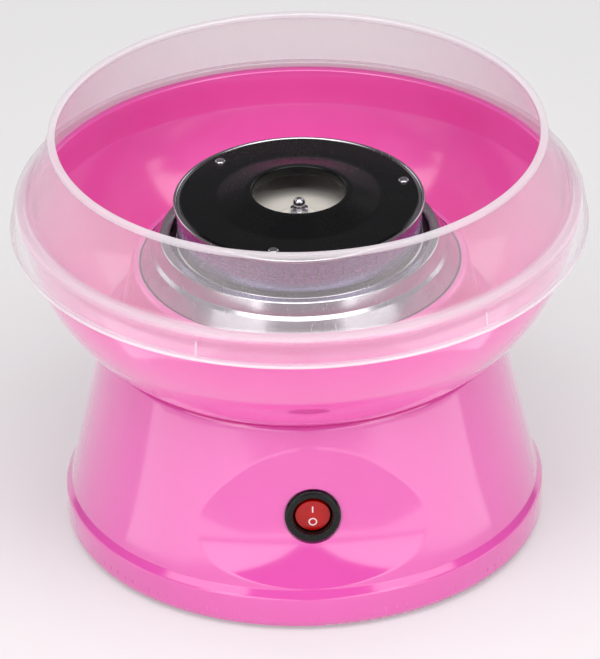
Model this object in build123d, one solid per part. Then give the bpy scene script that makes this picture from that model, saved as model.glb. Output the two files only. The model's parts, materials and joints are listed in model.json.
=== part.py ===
"""Table-top cotton candy machine: base with motor and heater, spinning head, catch bowl and guard.

Millimetres. +Z is up, the head spins about Z, and the origin is on the table under the head.
The front, with the switch, faces -Y. Every outline of a turned piece lists (radius, height) pairs.
"""
from build123d import *
import os
from math import cos, hypot, radians, sin

# ---- driving dimensions -------------------------------------------------------------------
# base housing: a band at the foot, a flare up to the deck, and the tower that carries the head
foot_standoff = 1.5
band_radius = 98.9
seam_height = 8.0
seam_groove = 0.4
band_height = 15.2
band_round = 3.0
crease_inset = 2.3
crease_rise = 3.0
crease_round = 1.0
waist_radius = 81.9
waist_round = 2.0
deck_height = 86.8
housing_wall = 2.5
tower_radius = 62.6
tower_draft = 0.8
tower_foot_round = 2.5
tower_top_round = 0.8
tower_rise = 33.5
# front facet, a shallow dish pressed into the flare: (height above the crease, depth below the flare)
facet_sections = [(-1.4, -1.0), (4.3, 1.5), (12.8, 3.35), (22.8, 3.9), (33.8, 3.2), (45.8, 1.75), (61.8, -0.35)]
facet_axis_setback = 37.0
facet_sweep = 100.0
# rocker switch
switch_rise = 29.4
switch_tilt = 7.0
bezel_radius = 11.5
bezel_proud = 2.2
bezel_round = 1.6
bezel_mouth_radius = 7.9
bezel_mouth_step = 0.6
bezel_mouth_flare = 0.5
switch_body_radius = 9.8
switch_body_length = 15.0
switch_body_taper = 1.0
switch_hole_gap = 0.2
switch_seat_sink = 0.8
switch_seat_margin = 0.6
rocker_ball_radius = 7.5
rocker_pivot_depth = 2.6
rocker_valley_rise = 2.1
rocker_valley_angle = 4.0
rocker_half_throw = 10.0
rocker_skirt_depth = 3.4
rocker_pin_radius = 0.9
rocker_pin_length = 1.2
rocker_pin_gap = 0.1
rocker_pin_sink = 0.2
rocker_ear_depth = 2.4
rocker_ear_height = 3.2
rocker_well_depth = 10.5
blade_width = 6.3
blade_thickness = 0.8
blade_length = 8.0
blade_hole_radius = 0.8
blade_pitch = 5.04
# cord inlet bush
inlet_height = 27.0
inlet_bore_radius = 3.6
bush_radius = 6.0
bush_flange_radius = 9.0
bush_flange_thickness = 2.0
bush_groove_depth = 1.2
bush_inner_lip = 2.0
bush_hole_gap = 0.1
inlet_pad_depth = 0.9
inlet_pad_margin = 0.5
# bottom cover, feet and screws
cover_floor = 2.2
cover_foot_inset = 1.2
cover_foot_rise = 3.0
cover_lip_height = 4.0
cover_lip_wall = 1.8
slip_gap = 0.3
foot_radius = 7.0
foot_height = 3.2
foot_round = 0.6
foot_ring_inset = 14.9
foot_angles = (50.0, 130.0, 230.0, 310.0)
cover_boss_inset = 4.1
cover_screw_angles = (18.0, 162.0, 198.0, 342.0)
cover_boss_radius = 4.0
cover_boss_rise = 38.0
cover_screw_radius = 1.5
cover_screw_length = 14.0
cover_pilot_spare = 3.0
cover_screw_head_height = 1.125
screw_head_radius = 2.9
screw_head_height = 1.9
screw_hole_gap = 0.15
vent_width = 2.6
vent_rings = ((18.0, 34.0), (42.0, 58.0))
vent_counts = (10, 20)
# catch bowl
bowl_rest_gap = 0.2
bowl_wall = 2.5
bowl_foot_inset = 0.3
bowl_belly_radius = 112.0
bowl_belly_rise = 44.0
bowl_belly_bulge = 4.8
bowl_wall_draft = 0.5
bowl_rim_rise = 15.6
bowl_rim_overhang = 3.2
bowl_rim_inner_width = 6.8
bowl_rim_thickness = 3.0
bowl_rim_round = 1.4
bowl_boss_spread = 9.5
bowl_boss_shoulder = 0.6
bowl_boss_foot_round = 4.0
bowl_boss_crown_round = 2.2
bowl_hole_gap = 0.7
# splash guard
guard_wall = 1.5
guard_seat_gap = 0.2
guard_rise = 32.0
guard_lean = 9.9
guard_foot_inset = 3.4
guard_bead_width = 3.2
guard_bead_height = 2.2
guard_bead_proud = 0.6
guard_bead_round = 0.8
guard_skirt_gap = 0.7
guard_skirt_draft = 0.6
guard_skirt_drop = 10.9
guard_shoulder_drop = 5.0
guard_shoulder_round = 2.6
guard_hem = 0.5
guard_hem_height = 1.0
guard_rib_count = 6
guard_rib_first_angle = 7.0
guard_rib_width = 2.0
guard_rib_proud = 0.5
# heat shield collar, reflector pan and heater
sheet = 0.8
collar_flange_overhang = 2.7
collar_flange_drop = 1.7
collar_knee_inset = 2.0
collar_knee_rise = 4.7
collar_knee_step = 0.6
collar_top_inset = 5.3
collar_top_rise = 10.5
collar_head_gap = 3.05
collar_hem = 3.2
collar_bend = 0.35
pan_collar_gap = 2.0
pan_rim_drop = 1.2
pan_hem = 2.3
pan_rim_width = 6.4
pan_step_drop = 2.2
pan_wall_lean = 2.2
pan_depth = 11.0
pan_hole_radius = 11.0
pan_bend = 0.4
element_ring_radius = 36.0
element_rise = 5.7
element_tube_radius = 3.2
element_bend_radius = 6.5
element_gap_angle = 46.0
element_leg_drop = 7.6
element_fit = 0.1
holder_angles = (30.0, 150.0, 270.0)
holder_width = 9.0
holder_length = 7.0
leg_bush_radius = 5.0
leg_bush_height = 5.0
leg_bush_lip = 1.6
leg_bush_neck_step = 0.8
leg_bush_hole_radius = 3.6
standoff_angles = (30.0, 150.0, 270.0)
standoff_ring_radius = 24.0
standoff_radius = 3.5
standoff_length = 11.5
pan_screw_end = 2.0
small_screw_radius = 1.5
bracket_screw_length = 12.0
# motor and its bracket
bracket_gap = 0.9
bracket_sheet = 1.5
bracket_boss_inset = 9.6
bracket_boss_radius = 5.6
bracket_boss_web = 5.0
bracket_boss_length = 16.0
bracket_boss_angles = (90.0, 210.0, 330.0)
bracket_pilot_depth = 10.0
bracket_window_radius = 36.0
bracket_window_length = 20.0
bracket_window_width = 9.0
bracket_window_count = 3
grommet_radius = 5.2
grommet_neck_radius = 3.8
grommet_lip = 1.8
grommet_fit = 0.05
motor_radius = 18.4
motor_length = 46.0
motor_wall = 1.2
motor_nose_radius = 6.5
motor_nose_height = 4.0
motor_nose_gap = 0.5
motor_bell_height = 7.0
bell_bearing_radius = 3.5
bell_bearing_step = 2.0
bell_collar_radius = 5.0
bell_chamfer = 2.5
bell_round = 2.0
bell_spigot_height = 3.0
bell_wall = 1.5
motor_screw_spread = 12.5
motor_screw_radius = 1.35
motor_screw_length = 4.2
motor_window = 6.0
terminal_spread = 11.0
terminal_length = 6.0
terminal_width = 4.8
terminal_thickness = 0.5
bushing_wall = 1.34
magnet_thickness = 4.6
magnet_span = 130.0
magnet_end_gap = 5.0
rotor_radius = 11.4
rotor_length = 28.0
rotor_poles = 5
rotor_slot_depth = 3.0
rotor_slot_width = 1.6
rotor_pocket_radius = 2.2
rotor_pocket_inset = 3.4
commutator_radius = 4.4
commutator_length = 5.4
shaft_radius = 1.58
running_gap = 0.04
press_gap = 0.02
# spinning head
hub_radius = 5.0
hub_length = 24.3
hub_flange_radius = 7.2
hub_flange_thickness = 1.6
hub_stud_radius = 2.0
hub_stud_fit = 0.1
shaft_engagement = 12.0
set_screw_radius = 1.25
set_screw_rise = 5.0
head_clearance = 2.2
dish_crown_rise = 6.8
dish_crown_radius = 7.5
dish_crown_slope = 2.0
dish_crown_step = 1.0
dish_lip_rise = 2.6
dish_lip_radius = 31.2
dish_gutter_slope = 2.2
dish_wall_radius = 49.1
dish_wall_rise = 3.8
band_gap = 0.05
band_sheet = 1.0
band_height_total = 13.6
slot_count = 60
slot_width = 0.7
slot_height = 5.0
slot_rise = 7.8
lid_plate_width = 13.5
lid_plate_overhang = 0.85
lid_plate_sheet = 0.7
lid_bead_radius = 0.8
lid_bead_inset = 0.2
lid_thickness = 0.9
lid_margin = 2.0
lid_cone_foot_radius = 34.0
lid_lip_radius = 19.3
lid_lip_rise = 4.0
lid_lip_wall = 1.1
lid_crest_width = 2.6
lid_crest_drop = 0.3
lid_foot_round = 9.0
lid_throat_drop = 0.4
rivet_ring_radius = 44.7
rivet_angles = (14.0, 134.0, 254.0)
rivet_head_radius = 2.2
rivet_head_height = 0.9
rivet_tail_height = 0.7
rivet_shank_radius = 1.4
rivet_fit = 0.05
washer_radius = 6.4
washer_thickness = 0.8
nut_across_flats = 7.0
nut_hex_height = 3.2
nut_dome_radius = 2.5
nut_dome_neck = 0.9
# rectifier board
board_length = 46.0
board_width = 30.0
board_thickness = 1.6
board_centre = (0.0, 34.0)
board_post_height = 6.0
board_post_radius = 2.6
board_hole_inset = 4.0
board_screw_length = 6.0
diode_radius = 2.6
diode_length = 9.0
diode_spacing = 7.0
diode_count = 4
diode_row_start = -14.0
capacitor_radius = 5.0
capacitor_height = 16.0
capacitor_offset = 16.0
capacitor_round = 0.8
# thermostat and thermal fuse
thermostat_radius = 8.0
thermostat_height = 6.5
thermostat_place = (30.0, 210.0)
thermostat_blade_height = 3.0
fuse_radius = 2.0
fuse_length = 12.0
fuse_clip_height = 1.2
fuse_place = (31.0, 330.0)

# ---- derived heights and radii --------------------------------------------------------------
inner_band_radius = band_radius - housing_wall
crease_radius = band_radius - crease_inset
crease_height = band_height + crease_rise
tower_height = deck_height + tower_rise
switch_height = crease_height + switch_rise
foot_ring_radius = band_radius - foot_ring_inset
cover_bottom = foot_standoff
cover_top = seam_height - seam_groove
cover_floor_top = cover_bottom + cover_floor
cover_lip_radius = inner_band_radius - slip_gap
cover_boss_height = seam_height + cover_boss_rise
flare_slope = (crease_radius - waist_radius) / (deck_height - crease_height)
cover_screw_ring_radius = crease_radius - flare_slope * (cover_boss_height - crease_height) - cover_boss_inset
collar_flange_radius = tower_radius + collar_flange_overhang
collar_flange_height = tower_height - collar_flange_drop
collar_knee_radius = tower_radius - collar_knee_inset
collar_knee_height = tower_height + collar_knee_rise
collar_top_radius = tower_radius - collar_top_inset
collar_top_height = tower_height + collar_top_rise
band_inner_radius = dish_wall_radius + band_gap
band_outer_radius = band_inner_radius + band_sheet
collar_inner_radius = band_outer_radius + collar_head_gap
bowl_bottom = deck_height + bowl_rest_gap
bowl_foot_radius = waist_radius - bowl_foot_inset
bowl_belly_height = bowl_bottom + bowl_belly_rise
bowl_rim_height = bowl_belly_height + bowl_rim_rise
bowl_rim_outer_radius = bowl_belly_radius + bowl_rim_overhang
bowl_rim_inner_radius = bowl_rim_outer_radius - bowl_rim_inner_width
bowl_hole_radius = collar_flange_radius + bowl_hole_gap
bowl_boss_foot_radius = bowl_hole_radius + bowl_boss_spread
bowl_boss_radius = bowl_hole_radius + bowl_wall + bowl_boss_shoulder
bowl_boss_height = collar_flange_height
guard_flange_bottom = bowl_rim_height + guard_seat_gap
guard_flange_top = guard_flange_bottom + guard_wall
guard_height = bowl_rim_height + guard_rise
guard_foot_radius = bowl_rim_outer_radius - guard_foot_inset
guard_top_radius = guard_foot_radius - guard_lean
guard_skirt_radius = bowl_rim_outer_radius + guard_skirt_gap + guard_wall
guard_skirt_end_radius = guard_skirt_radius + guard_skirt_draft
guard_skirt_height = bowl_rim_height - guard_skirt_drop
pan_rim_radius = collar_inner_radius - pan_collar_gap
pan_rim_height = collar_top_height - pan_rim_drop
pan_step_radius = pan_rim_radius - pan_rim_width
pan_floor_radius = pan_step_radius - pan_wall_lean
pan_floor_height = pan_rim_height - pan_depth
pan_underside = pan_floor_height - sheet
element_height = pan_floor_height + element_rise
element_leg_end = pan_floor_height - element_leg_drop
bracket_radius = tower_radius - housing_wall - bracket_gap
bracket_top = pan_underside - standoff_length
bracket_height = bracket_top - bracket_sheet
bracket_boss_ring_radius = tower_radius - bracket_boss_inset
grommet_bottom = bracket_height - grommet_lip
grommet_top = bracket_top + grommet_lip
motor_top = bracket_height
motor_bottom = motor_top - motor_length
motor_bell_top = motor_bottom + motor_bell_height
dish_gutter_height = pan_rim_height + head_clearance
dish_crown_height = dish_gutter_height + dish_crown_rise
dish_lip_height = dish_gutter_height + dish_lip_rise
dish_gutter_radius = dish_lip_radius + dish_gutter_slope
dish_wall_top = dish_gutter_height + dish_wall_rise
dish_underside = dish_crown_height - sheet
hub_flange_top = dish_underside
hub_foot_height = hub_flange_top - hub_length
hub_socket_radius = shaft_radius + press_gap
washer_bottom = dish_crown_height
nut_bottom = washer_bottom + washer_thickness
band_bottom = dish_gutter_height
band_top = band_bottom + band_height_total
slot_middle = band_bottom + slot_rise
lid_plate_bottom = band_top
lid_plate_top = lid_plate_bottom + lid_plate_sheet
lid_plate_radius = band_outer_radius + lid_plate_overhang
lid_plate_inner_radius = lid_plate_radius - lid_plate_width
lid_top = lid_plate_top + lid_thickness
lid_radius = lid_plate_radius - lid_margin
lid_lip_height = lid_top + lid_lip_rise
lid_throat_height = lid_top - lid_throat_drop
board_bottom = cover_floor_top + board_post_height
board_top = board_bottom + board_thickness

# shared rounds of small edges
fine_round = 0.3
edge_round = 0.5
soft_round = 0.8
# how far a cutting solid runs past the face that it cuts
past = 1.0


# ---- shared shapes ----------------------------------------------------------------------------
def outline(*corners):
    """Closed face in the radius-height plane. A corner is (radius, height) or (radius, height, round)."""
    face = Polygon(*[(c[0], c[1]) for c in corners], align=None)
    for corner in corners:
        if len(corner) == 3:
            vertex = face.vertices().sort_by_distance((corner[0], corner[1], 0))[0]
            face = fillet(vertex, corner[2])
    return face


def turned(face, sweep=360):
    """Solid of revolution about Z of a face drawn in the radius-height plane."""
    return revolve(Plane.XZ * face, Axis.Z, sweep)


def sideways(path, distance):
    """The open path moved to the left of its travel by a distance, mitred at its bends."""
    normals = []
    for (r0, z0), (r1, z1) in zip(path, path[1:]):
        length = hypot(r1 - r0, z1 - z0)
        normals.append((-(z1 - z0) / length, (r1 - r0) / length))
    moved = []
    for index, (r, z) in enumerate(path):
        before = normals[max(index - 1, 0)]
        after = normals[min(index, len(normals) - 1)]
        stretch = distance / (1 + before[0] * after[0] + before[1] * after[1])
        moved.append((r + (before[0] + after[0]) * stretch, z + (before[1] + after[1]) * stretch))
    return moved


def formed_sheet(path, thickness, bend):
    """Turned sheet piece: the path is one skin, the other lies to its left, and bends are rounded."""
    other = sideways(path, thickness)
    corners = [path[0]]
    back = [other[-1]]
    for index in range(1, len(path) - 1):
        (r0, z0), (r1, z1), (r2, z2) = path[index - 1:index + 2]
        turns_left = (r1 - r0) * (z2 - z1) - (z1 - z0) * (r2 - r1) > 0
        near_radius = bend + thickness if turns_left else bend
        far_radius = bend if turns_left else bend + thickness
        corners.append((r1, z1, near_radius))
        back.insert(1, (other[index][0], other[index][1], far_radius))
    corners.append(path[-1])
    back.append(other[0])
    return turned(outline(*corners, *back))


def post(radius, bottom, top, ring_radius=0.0, angle=0.0):
    """Upright cylinder between two heights, at a polar place."""
    place = Pos(ring_radius * cos(radians(angle)), ring_radius * sin(radians(angle)), (bottom + top) / 2)
    return place * Cylinder(radius, top - bottom)


def polar_posts(radius, bottom, top, ring_radius, angles):
    """One upright cylinder at each angle of a ring."""
    return [post(radius, bottom, top, ring_radius, angle) for angle in angles]


def screws(shank_radius, head_height, seat, length, ring_radius, angles, head_up=True):
    """Pan head screws on a ring: seat is the height under the head, shanks run away from the head."""
    way = 1 if head_up else -1
    pieces = []
    for angle in angles:
        rise = seat + way * head_height
        tip = seat - way * length
        head = post(screw_head_radius, min(seat, rise), max(seat, rise), ring_radius, angle)
        crown = head.edges().filter_by(GeomType.CIRCLE).sort_by(Axis.Z)[-1 if head_up else 0]
        head = fillet(crown, head_height * 0.45)
        recess = Pos(ring_radius * cos(radians(angle)), ring_radius * sin(radians(angle)), rise)
        head -= recess * Box(screw_head_radius * 1.2, head_height * 0.35, head_height * 0.8)
        head -= recess * Box(head_height * 0.35, screw_head_radius * 1.2, head_height * 0.8)
        pieces.append(head + post(shank_radius, min(seat, tip), max(seat, tip), ring_radius, angle))
    return Compound(children=pieces)


# ---- base ---------------------------------------------------------------------------------------
def flare_radius(height):
    """Outer radius of the base's straight flare at a height."""
    return crease_radius - flare_slope * (height - crease_height)


def facet_front(height):
    """Distance in front of the Z axis of the facet's middle line, between its sections."""
    rise = height - crease_height
    for (rise0, depth0), (rise1, depth1) in zip(facet_sections, facet_sections[1:]):
        if rise0 <= rise <= rise1:
            depth = depth0 + (depth1 - depth0) * (rise - rise0) / (rise1 - rise0)
    return flare_radius(height) - depth


def switch_plane(depth=0.0):
    """Plane of the switch seat, facing out of the facet; depth moves it into the housing."""
    out = Vector(0, -cos(radians(switch_tilt)), sin(radians(switch_tilt)))
    seat = Vector(0, -(facet_front(switch_height) - switch_seat_sink), switch_height)
    return Plane(origin=seat - out * depth, x_dir=(1, 0, 0), z_dir=out)


def facet_cutter(inset):
    """Everything in front of the facet surface, which is turned about an axis behind the head's."""
    points = []
    for rise, depth in facet_sections:
        height = crease_height + rise
        points.append((facet_axis_setback + flare_radius(height) - depth - inset, height))
    reach = facet_axis_setback + band_radius + bezel_radius
    dish = Spline(*points)
    edge = Polyline(points[-1], (reach, points[-1][1]), (reach, points[0][1]), points[0])
    face = Plane.XZ * make_face(dish + edge)
    ring = revolve(face, Axis.Z, facet_sweep)
    return Pos(0, facet_axis_setback, 0) * Rot(0, 0, -90 - facet_sweep / 2) * ring


def housing_block():
    """The base's outer form as one solid block, with the facet pressed into its front."""
    block = turned(outline(
        (0, seam_height),
        (band_radius, seam_height),
        (band_radius, band_height, band_round),
        (crease_radius, crease_height, crease_round),
        (waist_radius, deck_height, waist_round),
        (tower_radius + tower_draft, deck_height, tower_foot_round),
        (tower_radius, tower_height, tower_top_round),
        (0, tower_height),
    ))
    return block - facet_cutter(0)


def housing_hollow():
    """The room inside the base: the outer form less one wall, open below and through the tower."""
    inner = turned(outline(
        (0, seam_height - past),
        (inner_band_radius, seam_height - past),
        (inner_band_radius, band_height, band_round / 2),
        (crease_radius - housing_wall, crease_height, waist_round),
        (waist_radius - housing_wall, deck_height - housing_wall, crease_round),
        (tower_radius + tower_draft - housing_wall, deck_height - housing_wall, band_round),
        (tower_radius - housing_wall, tower_height + past),
        (0, tower_height + past),
    ))
    return inner - facet_cutter(housing_wall)


def bracket_boss(angle):
    """Boss for one bracket screw, with a web out to the tower's wall."""
    bottom = grommet_bottom - bracket_boss_length
    web_length = tower_radius - bracket_boss_ring_radius
    web = Pos(bracket_boss_ring_radius + web_length / 2, 0, (bottom + grommet_bottom) / 2)
    web *= Box(web_length, bracket_boss_web, bracket_boss_length)
    return Rot(0, 0, angle) * web + post(bracket_boss_radius, bottom, grommet_bottom, bracket_boss_ring_radius, angle)


def inlet_wall():
    """Distance behind the Z axis of the cord inlet's flat pad."""
    return flare_radius(inlet_height) - inlet_pad_depth


def base_housing():
    block = housing_block()
    shell = block - housing_hollow()
    for column in polar_posts(cover_boss_radius, seam_height, cover_boss_height,
                              cover_screw_ring_radius, cover_screw_angles):
        shell += column & block
    for column in polar_posts(cover_boss_radius, cover_floor_top, seam_height + past,
                              cover_screw_ring_radius, cover_screw_angles):
        shell += column
    for angle in bracket_boss_angles:
        shell += bracket_boss(angle) & block
    for pilot in polar_posts(cover_screw_radius + screw_hole_gap, cover_floor_top - past,
                             cover_bottom + cover_screw_length + cover_pilot_spare,
                             cover_screw_ring_radius, cover_screw_angles):
        shell -= pilot
    for pilot in polar_posts(small_screw_radius + screw_hole_gap, grommet_bottom - bracket_pilot_depth,
                             grommet_bottom + past, bracket_boss_ring_radius, bracket_boss_angles):
        shell -= pilot
    seat_recess = extrude(switch_plane() * Circle(bezel_radius + switch_seat_margin), bezel_radius / 2)
    switch_hole = extrude(switch_plane(bezel_radius) * Circle(switch_body_radius + switch_hole_gap), bezel_radius + past)
    inlet = Plane((0, inlet_wall(), inlet_height), z_dir=(0, 1, 0))
    pad = extrude(inlet * Circle(bush_flange_radius + inlet_pad_margin), bush_flange_radius)
    hole = extrude(inlet * Circle(bush_radius + bush_hole_gap), bush_flange_radius, both=True)
    return shell - seat_recess - switch_hole - pad - hole


def cord_bush():
    """Rubber bush in the rear wall: outer flange on the pad, neck through the wall, inner lip."""
    neck_length = housing_wall + bush_groove_depth
    bush = outline(
        (inlet_bore_radius, -neck_length - bush_inner_lip, edge_round),
        (bush_radius, -neck_length - bush_inner_lip, soft_round),
        (bush_radius, 0),
        (bush_flange_radius, 0),
        (bush_flange_radius, bush_flange_thickness, soft_round),
        (inlet_bore_radius, bush_flange_thickness, edge_round),
    )
    return Pos(0, inlet_wall(), inlet_height) * Rot(-90, 0, 0) * turned(bush)


def bottom_cover():
    """Cover plate with an upright rim that carries on the band, a lip inside it, vents and foot cups."""
    cover = turned(outline(
        (0, cover_bottom),
        (band_radius - cover_foot_inset, cover_bottom, cover_foot_inset),
        (band_radius, cover_bottom + cover_foot_rise, crease_round),
        (band_radius, cover_top),
        (cover_lip_radius, cover_top),
        (cover_lip_radius, cover_top + cover_lip_height, edge_round),
        (cover_lip_radius - cover_lip_wall, cover_top + cover_lip_height, edge_round),
        (cover_lip_radius - cover_lip_wall, cover_floor_top, crease_round),
        (0, cover_floor_top),
    ))
    for cup in polar_posts(foot_radius + cover_lip_wall, cover_bottom, foot_height + cover_floor,
                           foot_ring_radius, foot_angles):
        cover += cup
    for recess in polar_posts(foot_radius + slip_gap / 2, 0, foot_height, foot_ring_radius, foot_angles):
        cover -= recess
    for hole in polar_posts(cover_screw_radius + slip_gap, 0, cover_floor_top + past,
                            cover_screw_ring_radius, cover_screw_angles):
        cover -= hole
    for (inner, outer), count in zip(vent_rings, vent_counts):
        slot = Pos((inner + outer) / 2, 0, 0) * SlotOverall(outer - inner, vent_width)
        cover -= PolarLocations(0, count) * extrude(slot, cover_floor_top + past)
    for x, y in board_corners():
        cover += Pos(x, y, 0) * post(board_post_radius, cover_floor_top - past, board_bottom)
    for x, y in board_corners():
        cover -= Pos(x, y, 0) * post(small_screw_radius + screw_hole_gap, cover_floor_top, board_bottom + past)
    return cover


def board_corners():
    """Places of the board's four screws."""
    across = board_length / 2 - board_hole_inset
    along = board_width / 2 - board_hole_inset
    return [(board_centre[0] + sx * across, board_centre[1] + sy * along) for sx in (-1, 1) for sy in (-1, 1)]


def rubber_feet():
    feet = []
    for angle in foot_angles:
        foot = post(foot_radius, 0, foot_height - slip_gap / 2, foot_ring_radius, angle)
        feet.append(fillet(foot.edges().filter_by(GeomType.CIRCLE).sort_by(Axis.Z)[0], foot_round))
    return Compound(children=feet)


def cover_screws():
    return screws(cover_screw_radius, cover_screw_head_height, cover_bottom, cover_screw_length,
                  cover_screw_ring_radius, cover_screw_angles, head_up=False)


# ---- switch ---------------------------------------------------------------------------------------
def switch_housing():
    """Bezel ring, barrel and well of the rocker switch, turned about the seat's own axis."""
    body = turned(outline(
        (0, -switch_body_length),
        (switch_body_radius - switch_body_taper, -switch_body_length, edge_round),
        (switch_body_radius, -switch_body_length + 2 * switch_body_taper),
        (switch_body_radius, 0),
        (bezel_radius, 0),
        (bezel_radius, bezel_proud, bezel_round),
        (bezel_mouth_radius + bezel_mouth_flare, bezel_proud, edge_round),
        (bezel_mouth_radius, bezel_mouth_step),
        (bezel_mouth_radius, -rocker_well_depth, soft_round),
        (0, -rocker_well_depth),
    ))
    for way in (-1, 1):
        pin = Pos(way * (bezel_mouth_radius - rocker_pin_sink), 0, -rocker_pivot_depth) * Rot(0, 90, 0)
        body += pin * Cylinder(rocker_pin_radius, rocker_pin_length)
    return switch_plane().location * body


def switch_terminals():
    """Three push-on blades out of the back of the switch."""
    blades = []
    for x in (-blade_pitch, 0, blade_pitch):
        blade = Box(blade_thickness, blade_width, blade_length)
        hole = Pos(0, 0, -blade_length / 4) * Rot(0, 90, 0) * Cylinder(blade_hole_radius, blade_thickness * 2)
        blades.append(Pos(x, 0, -switch_body_length - blade_length / 2) * (blade - hole))
    return switch_plane().location * Compound(children=blades)


def rocker_button():
    """Ball-sided rocker with a shallow valley, tipped to its off side about its cross axis."""
    ball = Sphere(rocker_ball_radius)
    reach = rocker_ball_radius * 1.2
    rise = reach * sin(radians(rocker_valley_angle))
    side = Polygon(
        (-reach, -rocker_skirt_depth),
        (reach, -rocker_skirt_depth),
        (reach, rocker_valley_rise + rise),
        (0, rocker_valley_rise),
        (-reach, rocker_valley_rise + rise),
        align=None,
    )
    button = ball & extrude(Plane.YZ * side, rocker_ball_radius, both=True)
    bore = Rot(0, 90, 0) * Cylinder(rocker_pin_radius + rocker_pin_gap, rocker_ball_radius * 3)
    for way in (-1, 1):
        ear = Pos(way * rocker_ball_radius, 0, 0) * Box(rocker_ear_depth, rocker_ear_height, rocker_ear_height)
        button -= bore & ear
    return switch_plane(rocker_pivot_depth).location * Rot(rocker_half_throw, 0, 0) * button


# ---- motor and bracket --------------------------------------------------------------------------------
def motor_bracket():
    """Round plate with three windows, held in rubber grommets on the tower's three bosses."""
    bottom = bracket_height - past
    top = bracket_top + past
    plate = post(bracket_radius, bracket_height, bracket_top)
    plate -= post(motor_nose_radius + motor_nose_gap, bottom, top)
    for hole in polar_posts(grommet_neck_radius + grommet_fit, bottom, top,
                            bracket_boss_ring_radius, bracket_boss_angles):
        plate -= hole
    for hole in polar_posts(small_screw_radius + screw_hole_gap, bottom, top, motor_screw_spread, (0, 180)):
        plate -= hole
    for hole in polar_posts(small_screw_radius + screw_hole_gap, bottom, top, standoff_ring_radius, standoff_angles):
        plate -= hole
    window = Pos(bracket_window_radius, 0, 0) * SlotOverall(bracket_window_length, bracket_window_width)
    return plate - PolarLocations(0, bracket_window_count) * extrude(window, top)


def isolation_grommets():
    """Rubber grommets round the bracket's three fixing screws."""
    bore = small_screw_radius + running_gap * 2.5
    ring = turned(outline(
        (bore, grommet_bottom),
        (grommet_radius, grommet_bottom, edge_round),
        (grommet_radius, bracket_height),
        (grommet_neck_radius, bracket_height),
        (grommet_neck_radius, bracket_top),
        (grommet_radius, bracket_top),
        (grommet_radius, grommet_top, edge_round),
        (bore, grommet_top),
    ))
    places = [Rot(0, 0, angle) * Pos(bracket_boss_ring_radius, 0, 0) for angle in bracket_boss_angles]
    return Compound(children=[place * ring for place in places])


def bracket_screws():
    return screws(small_screw_radius, screw_head_height, grommet_top, bracket_screw_length,
                  bracket_boss_ring_radius, bracket_boss_angles)


def motor_can():
    """Drawn steel can, closed above with a bearing nose, open below for the end bell."""
    bore = shaft_radius + bushing_wall + running_gap * 1.5
    can = turned(outline(
        (bore, motor_top + motor_nose_height),
        (bore, motor_top - motor_wall),
        (motor_radius - motor_wall, motor_top - motor_wall, soft_round),
        (motor_radius - motor_wall, motor_bell_top),
        (motor_radius, motor_bell_top),
        (motor_radius, motor_top, waist_round),
        (motor_nose_radius, motor_top),
        (motor_nose_radius, motor_top + motor_nose_height, soft_round),
    ))
    for hole in polar_posts(motor_screw_radius + running_gap, motor_top - motor_screw_length, motor_top + past,
                            motor_screw_spread, (0, 180)):
        can -= hole
    window = Pos(0, 0, motor_bell_top + motor_window * 1.3) * Box(motor_window, motor_radius * 3, motor_window)
    return can - window


def motor_screws():
    return screws(motor_screw_radius, screw_head_height, bracket_top, motor_screw_length, motor_screw_spread, (0, 180))


def motor_bushing():
    """Sintered bush pressed in the can's nose."""
    return turned(outline(
        (shaft_radius + running_gap, motor_top - motor_wall),
        (shaft_radius + running_gap + bushing_wall, motor_top - motor_wall),
        (shaft_radius + running_gap + bushing_wall, motor_top + motor_nose_height - fine_round),
        (shaft_radius + running_gap, motor_top + motor_nose_height - fine_round),
    ))


def motor_end_bell():
    """Moulded cap that closes the can and carries the lower bearing."""
    spigot = motor_radius - motor_wall - grommet_fit
    return turned(outline(
        (shaft_radius + running_gap, motor_bottom + bell_bearing_step),
        (bell_bearing_radius, motor_bottom + bell_bearing_step),
        (bell_bearing_radius, motor_bottom, edge_round),
        (motor_radius - bell_chamfer, motor_bottom, bell_round),
        (motor_radius, motor_bottom + bell_chamfer, bell_round / 2),
        (motor_radius, motor_bell_top),
        (spigot, motor_bell_top),
        (spigot, motor_bell_top + bell_spigot_height),
        (spigot - bell_wall, motor_bell_top + bell_spigot_height),
        (spigot - bell_wall, motor_bell_top - bell_spigot_height, bell_round / 2),
        (bell_collar_radius, motor_bell_top - bell_spigot_height),
        (bell_collar_radius, motor_bell_top, edge_round),
        (shaft_radius + running_gap, motor_bell_top),
    ))


def motor_terminals():
    tab = Box(terminal_thickness, terminal_width, terminal_length)
    return Compound(children=[Pos(way * terminal_spread, 0, motor_bottom - terminal_length / 2) * tab for way in (-1, 1)])


def motor_magnets():
    """Two ferrite shoes inside the can."""
    bottom = motor_bell_top + magnet_end_gap
    top = motor_top - motor_wall - magnet_end_gap / 2
    outer = motor_radius - motor_wall - running_gap * 2.5
    section = outline((outer - magnet_thickness, bottom), (outer, bottom), (outer, top), (outer - magnet_thickness, top))
    shoe = Rot(0, 0, 90 - magnet_span / 2) * turned(section, magnet_span)
    return Compound(children=[shoe, Rot(0, 0, 180) * shoe])


# ---- heater -------------------------------------------------------------------------------------------
def heat_shield_collar():
    """Stamped collar over the tower: sloped flange, knee, upright wall, flat ring and turned-down hem."""
    path = [
        (collar_flange_radius, collar_flange_height),
        (collar_knee_radius + collar_knee_step, collar_knee_height - collar_knee_step),
        (collar_knee_radius - collar_knee_step * 1.5, collar_knee_height + collar_knee_step),
        (collar_top_radius, collar_top_height),
        (collar_inner_radius, collar_top_height),
        (collar_inner_radius, collar_top_height - collar_hem),
    ]
    return formed_sheet(path, sheet, collar_bend)


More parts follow.
